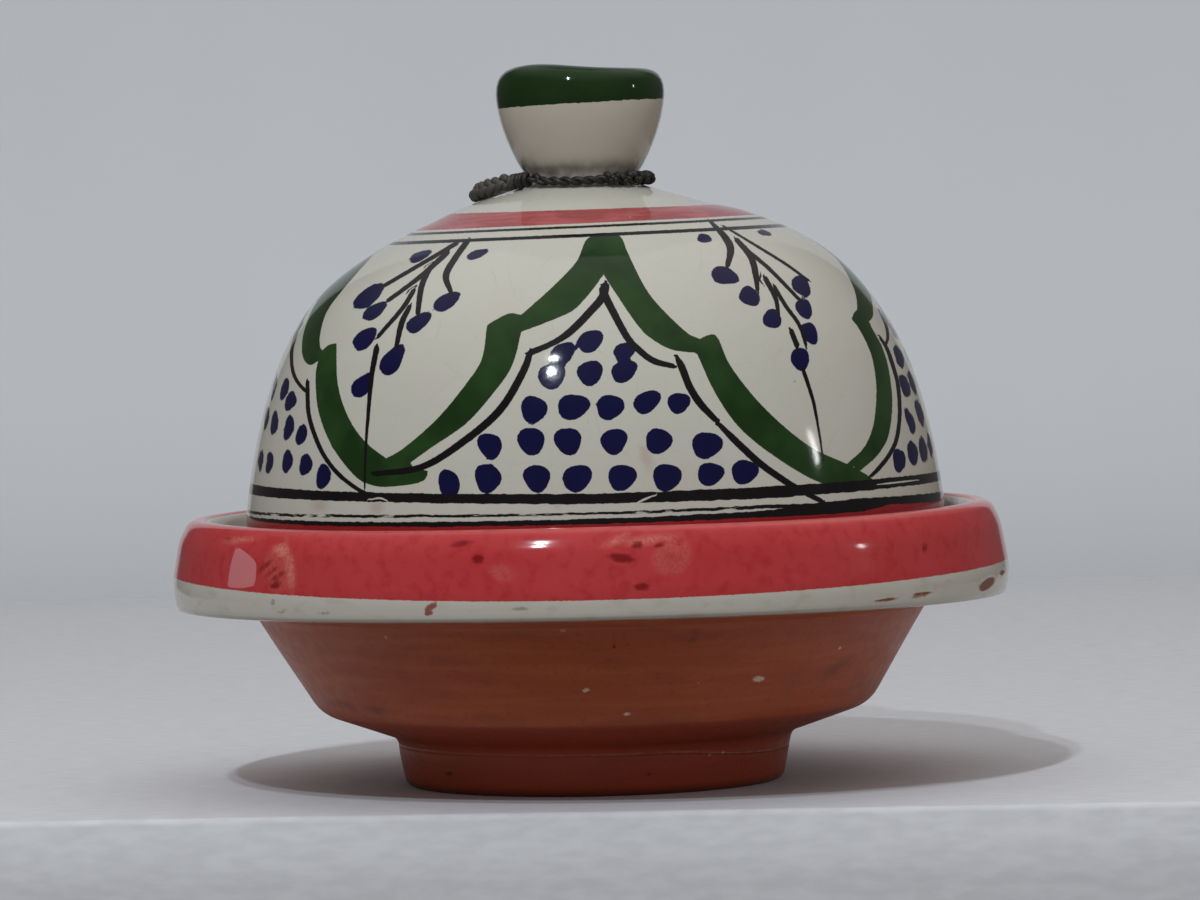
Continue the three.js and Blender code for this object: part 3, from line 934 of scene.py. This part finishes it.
def lid_rows():
    """The lid's outline from the top of its hollow to the middle of the knob's cup, and its lowest row."""
    hollow = beside_dome(-LID_WALL)
    inner_r = LID_R - LID_WALL
    foot_mid_r = LID_R - LID_WALL / 2
    inner_foot = rounded(((inner_r, DOME_FOOT_Z), (inner_r, LID_Z, LID_FOOT_ROUND), (foot_mid_r, LID_Z)))
    inside = spaced(np.concatenate(([(0, hollow[0][1])], hollow, inner_foot[1:])), COARSE_STEP)
    skirt = rounded(((foot_mid_r, LID_Z), (LID_R, LID_Z, LID_FOOT_ROUND), (LID_R, DOME_FOOT_Z)))
    dome = DOME_LINE[::-1]
    dome = dome[dome[:, 0] > NECK_R + NECK_ROUND]
    shoulder = spaced(np.concatenate((skirt, dome[1:])), FINE_STEP)
    neck = rounded((tuple(dome[-1]), (NECK_R, SHOULDER_Z, NECK_ROUND), (NECK_R, KNOB_FOOT_Z)))
    side = bezier((
        (NECK_R, KNOB_FOOT_Z),
        (
            NECK_R + KNOB_FLARE_PULL * math.sin(KNOB_FLARE),
            KNOB_FOOT_Z + KNOB_FLARE_PULL * math.cos(KNOB_FLARE),
        ),
        (KNOB_R, KNOB_WIDEST_Z - KNOB_SIDE_PULL),
        (KNOB_R, KNOB_WIDEST_Z),
    ), KNOB_SIDE_STEPS)
    rim = ((KNOB_R, KNOB_WIDEST_Z), (KNOB_R, KNOB_TOP_Z), (KNOB_CREST_R, KNOB_TOP_Z))
    rim = bezier(rim, KNOB_RIM_STEPS)
    cup_z = KNOB_TOP_Z - KNOB_CUP_DEPTH
    cup = rounded((
        (KNOB_CREST_R, KNOB_TOP_Z),
        (KNOB_CUP_R, KNOB_TOP_Z, KNOB_CUP_ROUND),
        (KNOB_CUP_R - KNOB_CUP_TAPER, cup_z, KNOB_CUP_ROUND),
        (0, cup_z),
    ))
    knob = spaced(joined(neck, side, rim, cup), KNOB_STEP)
    return joined(inside, shoulder, knob), len(inside) - 1


def closed_shape(runs):
    """The outline of a painted shape, as pixels of the picture."""
    return np.concatenate([smooth((*run, on[0]))[:-1] for run, on in zip(runs, runs[1:] + runs[:1])])


def along_legs(pixels, start, way):
    """For every pixel and leg of a line, the share of the leg where they are nearest and the way from it."""
    off = pixels[:, None] - start
    share = np.clip((off * way).sum(2) / np.maximum((way * way).sum(1), TINY), 0, 1)
    return share, off - share[:, :, None] * way


def shape_gap(pixels, outline):
    """Distance in pixels to a closed outline; negative inside."""
    way = np.roll(outline, -1, axis=0) - outline
    gap = np.linalg.norm(along_legs(pixels, outline, way)[1], axis=2).min(1)
    x, y = pixels[:, None, 0], pixels[:, None, 1]
    crosses = (outline[:, 1] > y) != (outline[:, 1] + way[:, 1] > y)
    slope = way[:, 0] / np.where(way[:, 1] == 0, TINY, way[:, 1])
    to_right = x < outline[:, 0] + (y - outline[:, 1]) * slope
    inside = (crosses & to_right).sum(1) % 2 == 1
    return np.where(inside, -gap, gap)


class Brushwork:
    """Distances from the lid's points to its painted shapes, in pixels of the picture."""

    INK_LAYERS = 3
    SCRATCH_LAYER = 3
    LAYERS = 4

    def __init__(self, count):
        self.green = np.full(count, FAR_PX)
        self.blue = np.full(count, FAR_PX)
        self.stain = np.full(count, FAR_PX)
        self.ink = np.full((self.LAYERS, count), FAR_PX)
        self.ink_side = np.full((self.LAYERS, count), FAR_PX)
        self.ink_half = np.ones((self.LAYERS, count))

    def fill(self, chosen, pixels, runs):
        self.green[chosen] = np.minimum(self.green[chosen], shape_gap(pixels, closed_shape(runs)))

    def dab(self, chosen, pixels, x, y, width, height, tilt):
        gap = spots(pixels, ((x, y, width / 2, height / 2, tilt),), DAB_UNEVEN) / PIXEL
        self.blue[chosen] = np.minimum(self.blue[chosen], gap)

    def lines(self, chosen, pixels, strokes):
        """Lays strokes on layers in turn, so that strokes that meet don't share one."""
        for i, stroke in enumerate(strokes):
            self.line(i % self.INK_LAYERS, chosen, pixels, smooth(stroke))

    def line(self, layer, chosen, pixels, points):
        start = points[:-1]
        way = np.diff(points, axis=0)
        share, apart = along_legs(pixels, start[:, :2], way[:, :2])
        half = start[:, 2] + share * way[:, 2]
        distance = np.linalg.norm(apart, axis=2)
        nearest = (distance - half).argmin(1)
        each = np.arange(len(pixels))
        side = np.sign(way[nearest, 0] * apart[each, nearest, 1] - way[nearest, 1] * apart[each, nearest, 0])
        gap = (distance - half)[each, nearest]
        closer = gap < self.ink[layer, chosen]
        changed = chosen[closer]
        self.ink[layer, changed] = gap[closer]
        self.ink_side[layer, changed] = (side * distance[each, nearest])[closer]
        self.ink_half[layer, changed] = half[each, nearest][closer]


def set_right(z):
    """How far to the right the lid stands at a height."""
    return LID_SET_RIGHT * (1 - step_up(z, *LID_SET_ENDS_Z))


def on_dome(degrees, z):
    """Points of the dome at angles round it and heights."""
    line = DOME_LINE[::-1]
    r = np.interp(z, line[:, 1], line[:, 0])
    turn = np.radians(degrees)
    return np.column_stack((r * np.sin(turn) + set_right(z), -r * np.cos(turn), z))


def arch_turn(angle, turns):
    """The angle in the first arch that matches an angle in an arch with these turns, or NaN outside it."""
    way = 1 if turns[-1] > turns[0] else -1
    off = way * ((angle - turns[2] + 180) % 360 - 180)
    ends = [way * (turn - turns[2]) for turn in turns]
    ends = [ends[0] - ARCH_MARGIN, *ends, ends[-1] + ARCH_MARGIN]
    wanted = [ARCH_TURNS[0] - ARCH_MARGIN, *ARCH_TURNS, ARCH_TURNS[-1] + ARCH_MARGIN]
    return np.interp(off, ends, wanted, left=math.nan, right=math.nan)


def paint_arches(work, angle, z, painted):
    """The arch of the front, and the others as far as the front doesn't show them."""
    dice = random.Random(DOT_SEED)
    for turns in ARCHES:
        first = turns == ARCH_TURNS
        front = arch_turn(angle, turns)
        chosen = np.flatnonzero(painted & ~np.isnan(front))
        pixels = photo_pixels(on_dome(front[chosen], z[chosen]))
        aside = np.abs(angle[chosen])
        filled = first | (aside > FRONT_REACH)
        work.fill(chosen[filled], pixels[filled], ARCH_LEFT)
        work.fill(chosen[filled], pixels[filled], ARCH_RIGHT)
        lined = first | (aside > LINE_REACH)
        work.lines(chosen[lined], pixels[lined], ARCH_LINES)
        for x, y, width, height in ARCH_DOTS:
            tilt = DOT_TILT + dice.uniform(-DOT_TILT_SPREAD, DOT_TILT_SPREAD)
            middle = np.hypot(*(pixels - (x, y)).T).argmin()
            if first or aside[middle] > DAB_REACH:
                work.dab(chosen, pixels, x, y, width * DOT_SPREAD, height * DOT_SPREAD, tilt)


def paint_sides(work, angle, z, painted):
    """What the front shows of the neighbouring arches, with its scratches and stains."""
    chosen = np.flatnonzero(painted & (np.abs(angle) < FRONT_REACH))
    pixels = photo_pixels(on_dome(angle[chosen], z[chosen]))
    for strand in SIDE_STRANDS:
        work.fill(chosen, pixels, strand)
    work.lines(chosen, pixels, SIDE_LINES)
    for x, y, width, height, tilt in SIDE_DABS:
        work.dab(chosen, pixels, x, y, width * SIDE_SPREAD, height, tilt)
    for stroke in SCRATCHES:
        work.line(work.SCRATCH_LAYER, chosen, pixels, smooth(stroke))
    work.stain[chosen] = spots(pixels, STAINS) / PIXEL


def paint_sprigs(work, angle, z, painted):
    for lines, berries, turn in SPRIGS:
        front = (angle - turn + 180) % 360 - 180
        chosen = np.flatnonzero(painted & (np.abs(front) < SPRIG_REACH))
        pixels = photo_pixels(on_dome(front[chosen], z[chosen]))
        work.lines(chosen, pixels, lines)
        for x, y, width, height, tilt in berries:
            work.dab(chosen, pixels, x, y, width * BERRY_SPREAD, height * BERRY_SPREAD, tilt)


def make_lid():
    rows, foot_row = lid_rows()
    points, faces = turned(rows, LID_SIDES)
    degrees = azimuth(points)
    angle = np.radians(degrees)
    r = np.hypot(points[:, 0], points[:, 1])
    z = points[:, 2].copy()
    outside = per_row(np.arange(len(rows)) > foot_row, LID_SIDES)

    grow(points, waves(angle, LID_SWAY) * step_up(r, *LID_SWAY_FROM_R))
    points[:, 0] += set_right(z)
    points[:, 2] += SHOULDER_LEAN * points[:, 0] * step_up(z, *LEAN_FROM_Z) * step_up(r, *LEAN_FROM_R)
    crest = step_up(z, *CREST_FROM_Z) * step_up(r, *CREST_FROM_R)
    points[:, 2] += crest * (CREST_H * np.exp(-((angle - CREST_TURN) / CREST_HALF_W) ** 2) - CREST_DROP)

    lid = mesh_object("painted_lid", points, faces)
    work = Brushwork(len(z))
    painted = outside & (z > FOOT_PAINT_Z) & (z < SHOULDER_RED[0])
    for paint in (paint_arches, paint_sides, paint_sprigs):
        paint(work, degrees, z, painted)
    set_field(lid, "height", z)
    set_field(lid, "outside", outside)
    for name in ("green", "blue", "stain"):
        set_field(lid, name, getattr(work, name) * PIXEL)
    for layer in range(work.LAYERS):
        set_field(lid, f"ink{layer}", work.ink[layer] * PIXEL)
        set_field(lid, f"ink_side{layer}", work.ink_side[layer] * PIXEL)
        set_field(lid, f"ink_half{layer}", work.ink_half[layer] * PIXEL)
    for name, places in FOOT_RINGS.items():
        turns, middles, halves = zip(*places)
        set_field(lid, name, z - np.interp(degrees, turns, middles, period=360))
        set_field(lid, f"{name}_half", np.interp(degrees, turns, halves, period=360))
    lid.data.materials.append(lid_finish())
    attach(lid, "lid")
    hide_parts("lid")


def lid_white(finish):
    """Off-white glaze, mottled and stained, with fine crazing, and darker round the neck, where it is partly
    grime and partly painted shade in the crease about the cord.
    """
    # Grime and painted shade round the neck, where the knob meets the shoulder and the cord lies
    neck = finish.times(finish.ramp(finish.z, 135, 130.5), finish.ramp(finish.z, 127.4, 128.6))
    return finish.layered(
        finish.mottled(40, (181, 180, 170), (173, 170, 159)),
        (finish.patches(16, 0.55, 0.8, 0.35), (176, 160, 155)),
        (finish.mark("stain", 0.8, -1.2, finish.wander(3, 0.5), 0.4), (150, 120, 110)),
        (finish.ramp(finish.cells(7, "DISTANCE_TO_EDGE"), 0.004, 0.012, 0.08, 0.0), (120, 112, 100)),
        (finish.ramp(finish.z, 128, 132, 0.0, 0.7), (178, 170, 156)),
        # Grime and painted shade round the neck, darker in patches
        (finish.times(neck, finish.patches(3.5, 0.25, 0.7, 0.8, least=0.2)), (62, 56, 50)),
    )


def lid_finish():
    finish = Finish("lid_glaze")
    outside = finish.ramp(finish.field("outside"), 0.45, 0.55)
    height = finish.math("ADD", finish.field("height"), finish.wander(34, 0.2))
    ragged = finish.wander(0.8, 0.1, detail=4)
    brush = finish.noise(9, 4, (1, 1, 9))

    def covered(gap):
        return finish.ramp(finish.math("ADD", gap, ragged), -PAINT_EDGE, PAINT_EDGE, 1.0, 0.0)

    def beside(off, half):
        """Distance to the edge of a line from how far its middle is, to either side."""
        return finish.math("SUBTRACT", finish.math("ABSOLUTE", off), half)

    def ring(middle, half):
        return covered(beside(finish.math("SUBTRACT", height, middle), half))

    def brushed(name):
        off = finish.math("ADD", finish.field(name), finish.wander(2.2, 0.3, 5))
        return covered(beside(off, finish.field(f"{name}_half")))

    def inked(layer):
        side = beside(finish.field(f"ink_side{layer}"), finish.field(f"ink_half{layer}"))
        end = finish.math("SUBTRACT", finish.field(f"ink{layer}"), STROKE_END)
        return covered(finish.math("MAXIMUM", side, end))

    ink = finish.times(brushed("dry_ring"), finish.patches(6, 0.36, 0.46, 1.0, 5, (1, 1, 4)))
    lines = [inked(layer) for layer in range(Brushwork.INK_LAYERS)]
    rings = [ring(*place) for place in SHOULDER_RINGS]
    for other in (*lines, *rings, brushed("band"), brushed("low_ring")):
        ink = finish.math("MAXIMUM", ink, other)
    ink = finish.times(ink, finish.math("SUBTRACT", 1.0, inked(Brushwork.SCRATCH_LAYER)))

    lumpy = finish.math("ADD", finish.field("blue"), finish.wander(3.6, 0.32))
    knob_gap = finish.math("ADD", finish.math("SUBTRACT", GREEN_EDGE_Z, finish.z), finish.wander(1.3, 0.25))
    knob_gap = finish.math("MULTIPLY_ADD", finish.x, KNOB_TILT, knob_gap)
    shoulder_red = finish.times(ring(*SHOULDER_RED), finish.ramp(brush, 0.1, 0.5, 0.75, 1.0))
    wash = finish.mix(finish.ramp(brush, 0.3, 0.7), (132, 44, 50), (160, 84, 84))
    green = finish.mix(finish.patches(11, 0.35, 0.7, 1.0), (20, 43, 14), (32, 58, 24))
    paints = (
        (shoulder_red, wash),
        (covered(lumpy), finish.mottled(4, (5, 5, 43), (10, 10, 58), 4)),
        (covered(finish.field("green")), green),
        # The knob's green is darker than the lid's green: partly its own glaze and partly painted shade on
        # the knob
        (covered(knob_gap), finish.mottled(6, (15, 35, 10), (26, 50, 19), 4)),
        (covered(finish.field("low_ring")), finish.mottled(5, (128, 20, 26), (150, 34, 38), 4)),
        (ink, finish.mottled(5, (7, 5, 6), (19, 16, 18), 4)),
    )
    paints = [(finish.times(outside, share), paint) for share, paint in paints]
    colour = finish.layered(lid_white(finish), *paints)

    roughness = finish.patches(6, 0.2, 0.8, 0.1, least=0.06)
    normal = finish.bump(finish.noise(14, 2), 0.25, 0.35)
    normal = finish.bump(finish.noise(1.2, 3), 0.02, 0.4, normal)
    return finish.done(colour, roughness, normal, SHEEN)


# Cord

CORD_SEED = 11
CORD_STEP = 0.25
LOOP_POINTS = 26
# Radius of one strand
LOOP_STRAND_R = 0.58
KNOT_STRAND_R = 0.62
TAIL_STRAND_R = 0.9
# How strands are laid: reach across and outwards, length of a turn, how many strands, and how often they go
# out and in on each turn, of which once twists them and twice plaits them
LOOP_LAY = (0.46, 0.46, 5.2, 2, 1)
TAIL_LAY = (1.02, 0.5, 7.5, 3, 2)
STRAND_DRIFT = 0.12
DRIFT_LENGTH = 2.3
DRIFT_START = 6
# Outwards, as the strands have it: raised by a share on the loop, and one way on the tail
LOOP_RISE = 0.4
TAIL_OUT = (-0.35, -0.85, 0.4)
TAIL_SAG_X = (17, 21)
# Turns of the knot: how many, their tilt, reach and rise with how these vary, and the growth of the bobble
KNOT_TURNS = 9
KNOT_TURN_POINTS = 40
KNOT_TILT = 0.6
KNOT_TILT_SPREAD = 0.15
KNOT_REACH = 0.95
KNOT_REACH_SPREAD = (-0.1, 0.15)
KNOT_RISE_SPREAD = (-0.1, 0.5)
BOBBLE_GROWTH = 0.35
# Thread of the whipping: its thickness, how much wider it is drawn, its unevenness, and its ends on the wrap
THREAD_D = 1.05
THREAD_SPREAD = 1.1
THREAD_UNEVEN = 0.14
THREAD_UNEVEN_RATE = 15
THREAD_ENDS = (0.03, 0.97)
THREAD_TURN_POINTS = 18
CORE_POINTS = 12
CORE_SIDES = 16
THREAD_SIDES = 8
# A tube is narrower at its last two points, and its first side faces away from a direction that no tube takes
TUBE_TAPER = (0.6, 0.9)
TUBE_AWAY = (0.3, 0.5, 0.8)


def unit(vectors):
    return vectors / np.maximum(np.linalg.norm(vectors, axis=-1, keepdims=True), TINY)


def tube(path, radius, sides=10):
    """Points and faces of a round tube along a path, closed and rounded off at its ends."""
    along = unit(np.gradient(path, axis=0))
    side = np.cross(along[0], TUBE_AWAY)
    angles = np.linspace(0, 2 * math.pi, sides, endpoint=False)
    steps = len(path)
    taper = np.ones(steps)
    for i, share in enumerate(TUBE_TAPER):
        taper[[i, -1 - i]] = share
    points = []
    for i in range(steps):
        side = unit(side - along[i] * np.dot(side, along[i]))
        other = np.cross(along[i], side)
        ring = np.outer(np.cos(angles), side) + np.outer(np.sin(angles), other)
        points.append(path[i] + ring * radius * taper[i])
    ends = [list(range(sides))[::-1], list(range(sides * (steps - 1), sides * steps))]
    return np.concatenate(points), ring_faces(steps, sides) + ends


def tubes_object(name, tubes):
    """One object of several tubes."""
    points = []
    faces = []
    for tube_points, tube_faces in tubes:
        shift = sum(len(p) for p in points)
        points.append(tube_points)
        faces.extend([[shift + i for i in face] for face in tube_faces])
    return mesh_object(name, np.concatenate(points), faces)


def laid(path, out, lay, dice):
    """Strands laid round a path."""
    across_reach, out_reach, pitch, count, ratio = lay
    along = unit(np.gradient(path, axis=0))
    across = unit(np.cross(along, out))
    upward = np.cross(across, along)
    way = travelled(path)
    strands = []
    for i in range(count):
        phase = 2 * math.pi * (way / pitch + i / count)
        drift = STRAND_DRIFT * np.sin(way / DRIFT_LENGTH + dice.uniform(0, DRIFT_START))
        sideways = across_reach * np.sin(phase) + drift
        raised = out_reach * (np.cos(phase) if ratio == 1 else np.sin(2 * phase))
        strands.append(path + across * sideways[:, None] + upward * raised[:, None])
    return strands


def loop_point(angle, diameter):
    r = NECK_R + NECK_ROUND / 2 + CORD_GAP + diameter / 2
    return on_shoulder((r * math.sin(angle), -r * math.cos(angle)), diameter)


def outward(path):
    """Directions away from the axis and a little up."""
    return unit(unit(path * (1, 1, 0)) + (0, 0, LOOP_RISE))


def finish_cord(piece, finish):
    piece.data.materials.append(finish)
    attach(piece, "cord")


def make_cord():
    dice = random.Random(CORD_SEED)
    finish = cord_finish()
    wrap_start, wrap_end = (on_shoulder(place, WRAP_D) for place in WRAP_ENDS)
    wrap_way = unit(wrap_end - wrap_start)

    at_wrap = wrap_start - wrap_way * CORD_GAP
    angles = np.linspace(*LOOP_TURN, LOOP_POINTS)
    route = [at_wrap, at_wrap - wrap_way * CORD_D, *[loop_point(a, CORD_D) for a in angles]]
    path = spaced(smooth(route), CORD_STEP)
    strands = laid(path, outward(path), LOOP_LAY, dice)
    loop = tubes_object("cord_loop", [tube(s, LOOP_STRAND_R) for s in strands])
    finish_cord(loop, finish)
    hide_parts("cord_front_run", "cord_back_run")

    knot = tubes_object("cord_knot_turns", [tube(turn, KNOT_STRAND_R) for turn in knot_turns(dice)])
    finish_cord(knot, finish)
    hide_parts("cord_knot")

    wrap = tubes_object("cord_whipping", whipping(wrap_start, wrap_end))
    finish_cord(wrap, finish)
    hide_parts("cord_wrap")

    tail_path = spaced(smooth([on_shoulder(place, TAIL_D) for place in TAIL_ROUTE]), CORD_STEP)
    tail_path[:, 2] -= TAIL_SAG * step_up(-tail_path[:, 0], *TAIL_SAG_X)
    plait = laid(tail_path, np.array(TAIL_OUT), TAIL_LAY, dice)
    tail = tubes_object("cord_plaited_tail", [tube(s, TAIL_STRAND_R) for s in plait])
    finish_cord(tail, finish)
    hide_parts("cord_tail")


def knot_turns(dice):
    """Short turns of strand round the loop, each tilted against the next, ending in a bobble."""
    turns = []
    angles = np.linspace(0, 2 * math.pi, KNOT_TURN_POINTS)
    up = np.array((0, 0, 1))
    for i, place in enumerate(np.linspace(*KNOT_TURN, KNOT_TURNS)):
        along = np.array((math.cos(place), math.sin(place), 0))
        out = np.array((math.sin(place), -math.cos(place), 0))
        tilt = (KNOT_TILT if i % 2 else -KNOT_TILT) + dice.uniform(-KNOT_TILT_SPREAD, KNOT_TILT_SPREAD)
        across = unit(up * math.cos(tilt) + along * math.sin(tilt))
        reach = KNOT_REACH + (BOBBLE_GROWTH if i == KNOT_TURNS - 1 else dice.uniform(*KNOT_REACH_SPREAD))
        middle = loop_point(place, LUMP_D) + up * dice.uniform(*KNOT_RISE_SPREAD)
        turn = np.outer(np.cos(angles), out) * reach + np.outer(np.sin(angles), across) * reach
        turns.append(middle + turn)
    return turns


def whipping(start, end):
    """A core with a thread wound round it."""
    length = np.linalg.norm(end - start)
    way = (end - start) / length
    side = unit(np.cross(way, (0, 0, 1)))
    up = np.cross(side, way)
    turns = length / THREAD_D
    share = np.linspace(*THREAD_ENDS, int(turns * THREAD_TURN_POINTS))
    phase = (share * turns + THREAD_UNEVEN * np.sin(share * THREAD_UNEVEN_RATE)) * 2 * math.pi
    coil_r = (WRAP_D - THREAD_D) / 2
    coil = start + np.outer(share * length, way)
    coil = coil + coil_r * (np.outer(np.cos(phase), side) + np.outer(np.sin(phase), up))
    core = start + np.outer(np.linspace(0, length, CORE_POINTS), way)
    return [tube(core, coil_r, CORE_SIDES), tube(coil, THREAD_D / 2 * THREAD_SPREAD, THREAD_SIDES)]


def cord_finish():
    """Dark fibre, paler in patches, and paler along the tail."""
    finish = Finish("cord_fibre")
    fibre = finish.noise(0.35, 4)
    colour = finish.layered(
        (15, 14, 12),
        (finish.ramp(fibre, 0.3, 0.7), (42, 39, 35)),
        (finish.patches(2.5, 0.5, 0.75, 0.6), (60, 56, 51)),
        (finish.ramp(finish.x, -13, -17, 0.0, 0.45), (92, 88, 81)),
    )
    roughness = finish.ramp(fibre, 0.3, 0.7, 0.38, 0.6)
    return finish.done(colour, roughness, finish.bump(fibre, 0.12, 0.7), CORD_SHEEN)


# Stage and light

# Table: its front edge, which runs nearer at the right, and its back edge
TABLE_FRONT = -74
TABLE_SKEW = -0.055
TABLE_EDGE_DROP = 10
TABLE_EDGE_OUT = 3
TABLE_LOW_ROUND = 6
TABLE_EDGE_ROUND = 1.5
TABLE_BACK_ROUND = 12
TABLE_BACK = 715
TABLE_DEPTH = 400
BACKDROP = 770
BACKDROP_H = 2400
SHEET_HALF_W = 340
# Lamps: turn and elevation in degrees, width and height in m, power and colour. They stand at one distance
# from a point above the table.
LAMP_AWAY = 1.9
LAMP_AIM = (0, 0, 0.07)
COOL = (0.86, 0.94, 1)
WHITE = (1, 1, 1)
LAMPS = {
    "upper_lamp": (-16, 46, (0.05, 0.03), 9.8, COOL),
    "lower_lamp": (-16, 41, (0.04, 0.03), 9.8, COOL),
    "side_lamp": (80, 15, (0.05, 0.14), 1.4, WHITE),
}
# The room's light: its colour, its strength at eye level, what the front and the right add, its share from
# below, its strength from above, and the heights between which these set in
ROOM_COLOUR = (1, 0.95, 0.92, 1)
ROOM_LEVEL = 0.245
ROOM_FRONT = 0.16
ROOM_RIGHT = 0.04
ROOM_BELOW = 0.7
ROOM_BELOW_Z = (-0.3, 0)
ROOM_ABOVE = 1.1
ROOM_ABOVE_Z = (0.45, 0.95)


def cloth_finish():
    finish = Finish("pale_cloth")
    threads = finish.patches(2, 0.3, 0.7, 1.0, 5, (0.3, 1, 1))
    colour = finish.mix(threads, (183, 184, 188), (192, 193, 197))
    return finish.done(colour, 0.85, finish.bump(finish.noise(1.5, 3), 0.1, 0.1))


def paper_finish():
    finish = Finish("pale_backdrop")
    # Painted shade of the backdrop's folds, as paler and darker upright streaks
    fold_shade = finish.noise(90, 2, (1, 1, 0.2))
    low = finish.mix(fold_shade, (212, 215, 218), (219, 222, 225))
    high = finish.mix(fold_shade, (201, 204, 208), (208, 211, 215))
    # Painted light: the backdrop is painted paler near the table, where less light reaches its lower part
    colour = finish.mix(finish.ramp(finish.z, 20, 260), low, high)
    return finish.done(colour, 0.9, finish.bump(finish.noise(2, 3), 0.1, 0.1))


def make_stage():
    front = TABLE_FRONT - TABLE_EDGE_OUT
    make_sheet("table", rounded((
        (front, -TABLE_DEPTH),
        (front, -TABLE_EDGE_DROP, TABLE_LOW_ROUND),
        (TABLE_FRONT, 0, TABLE_EDGE_ROUND),
        (TABLE_BACK, 0, TABLE_BACK_ROUND),
        (TABLE_BACK, -TABLE_DEPTH),
    )), cloth_finish(), TABLE_SKEW)
    make_sheet("backdrop", ((BACKDROP, -TABLE_DEPTH), (BACKDROP, BACKDROP_H)), paper_finish())


def make_sheet(name, profile, finish, skew=0):
    """A wide sheet along X that follows a profile (y, z), with its front askew."""
    sides = (-SHEET_HALF_W, SHEET_HALF_W)
    points = [(side, y + (skew * side if y < 0 else 0), z) for y, z in profile for side in sides]
    faces = [(2 * i, 2 * i + 1, 2 * i + 3, 2 * i + 2) for i in range(len(profile) - 1)]
    sheet = mesh_object(name, points, faces)
    sheet.data.materials.append(finish)


def make_lamp(name, turn, elevation, size, power, colour):
    """An area lamp that faces the tagine."""
    data = bpy.data.lights.new(name, "AREA")
    data.shape = "RECTANGLE"
    data.size, data.size_y = size
    data.energy = power
    data.color = colour
    lamp = placed(name, data)
    a = math.radians(turn)
    e = math.radians(elevation)
    way = Vector((math.sin(a) * math.cos(e), -math.cos(a) * math.cos(e), math.sin(e)))
    lamp.location = way * LAMP_AWAY + Vector(LAMP_AIM)
    lamp.rotation_euler = way.to_track_quat("Z", "Y").to_euler()


def make_light():
    for name, settings in LAMPS.items():
        make_lamp(name, *settings)
    bpy.context.scene.view_settings.view_transform = "Standard"


def make_room():
    """Soft light from all round: most from above, and more from the front and the right than from behind."""
    world = bpy.data.worlds.new("room")
    world.use_nodes = True
    room = Nodes(world.node_tree)
    way = room.parts(room.add("ShaderNodeTexCoord").outputs["Generated"])
    level = room.math("MULTIPLY_ADD", way["Y"], -ROOM_FRONT, ROOM_LEVEL)
    level = room.math("MULTIPLY_ADD", way["X"], ROOM_RIGHT, level)
    level = room.times(level, room.ramp(way["Z"], *ROOM_BELOW_Z, ROOM_BELOW, 1.0))
    background = room.nodes["Background"]
    background.inputs["Color"].default_value = ROOM_COLOUR
    room.plug(background.inputs["Strength"], room.ramp(way["Z"], *ROOM_ABOVE_Z, level, ROOM_ABOVE))
    bpy.context.scene.world = world


make_camera()
make_cord()
make_dish()
make_lid()
make_stage()
make_light()
make_room()
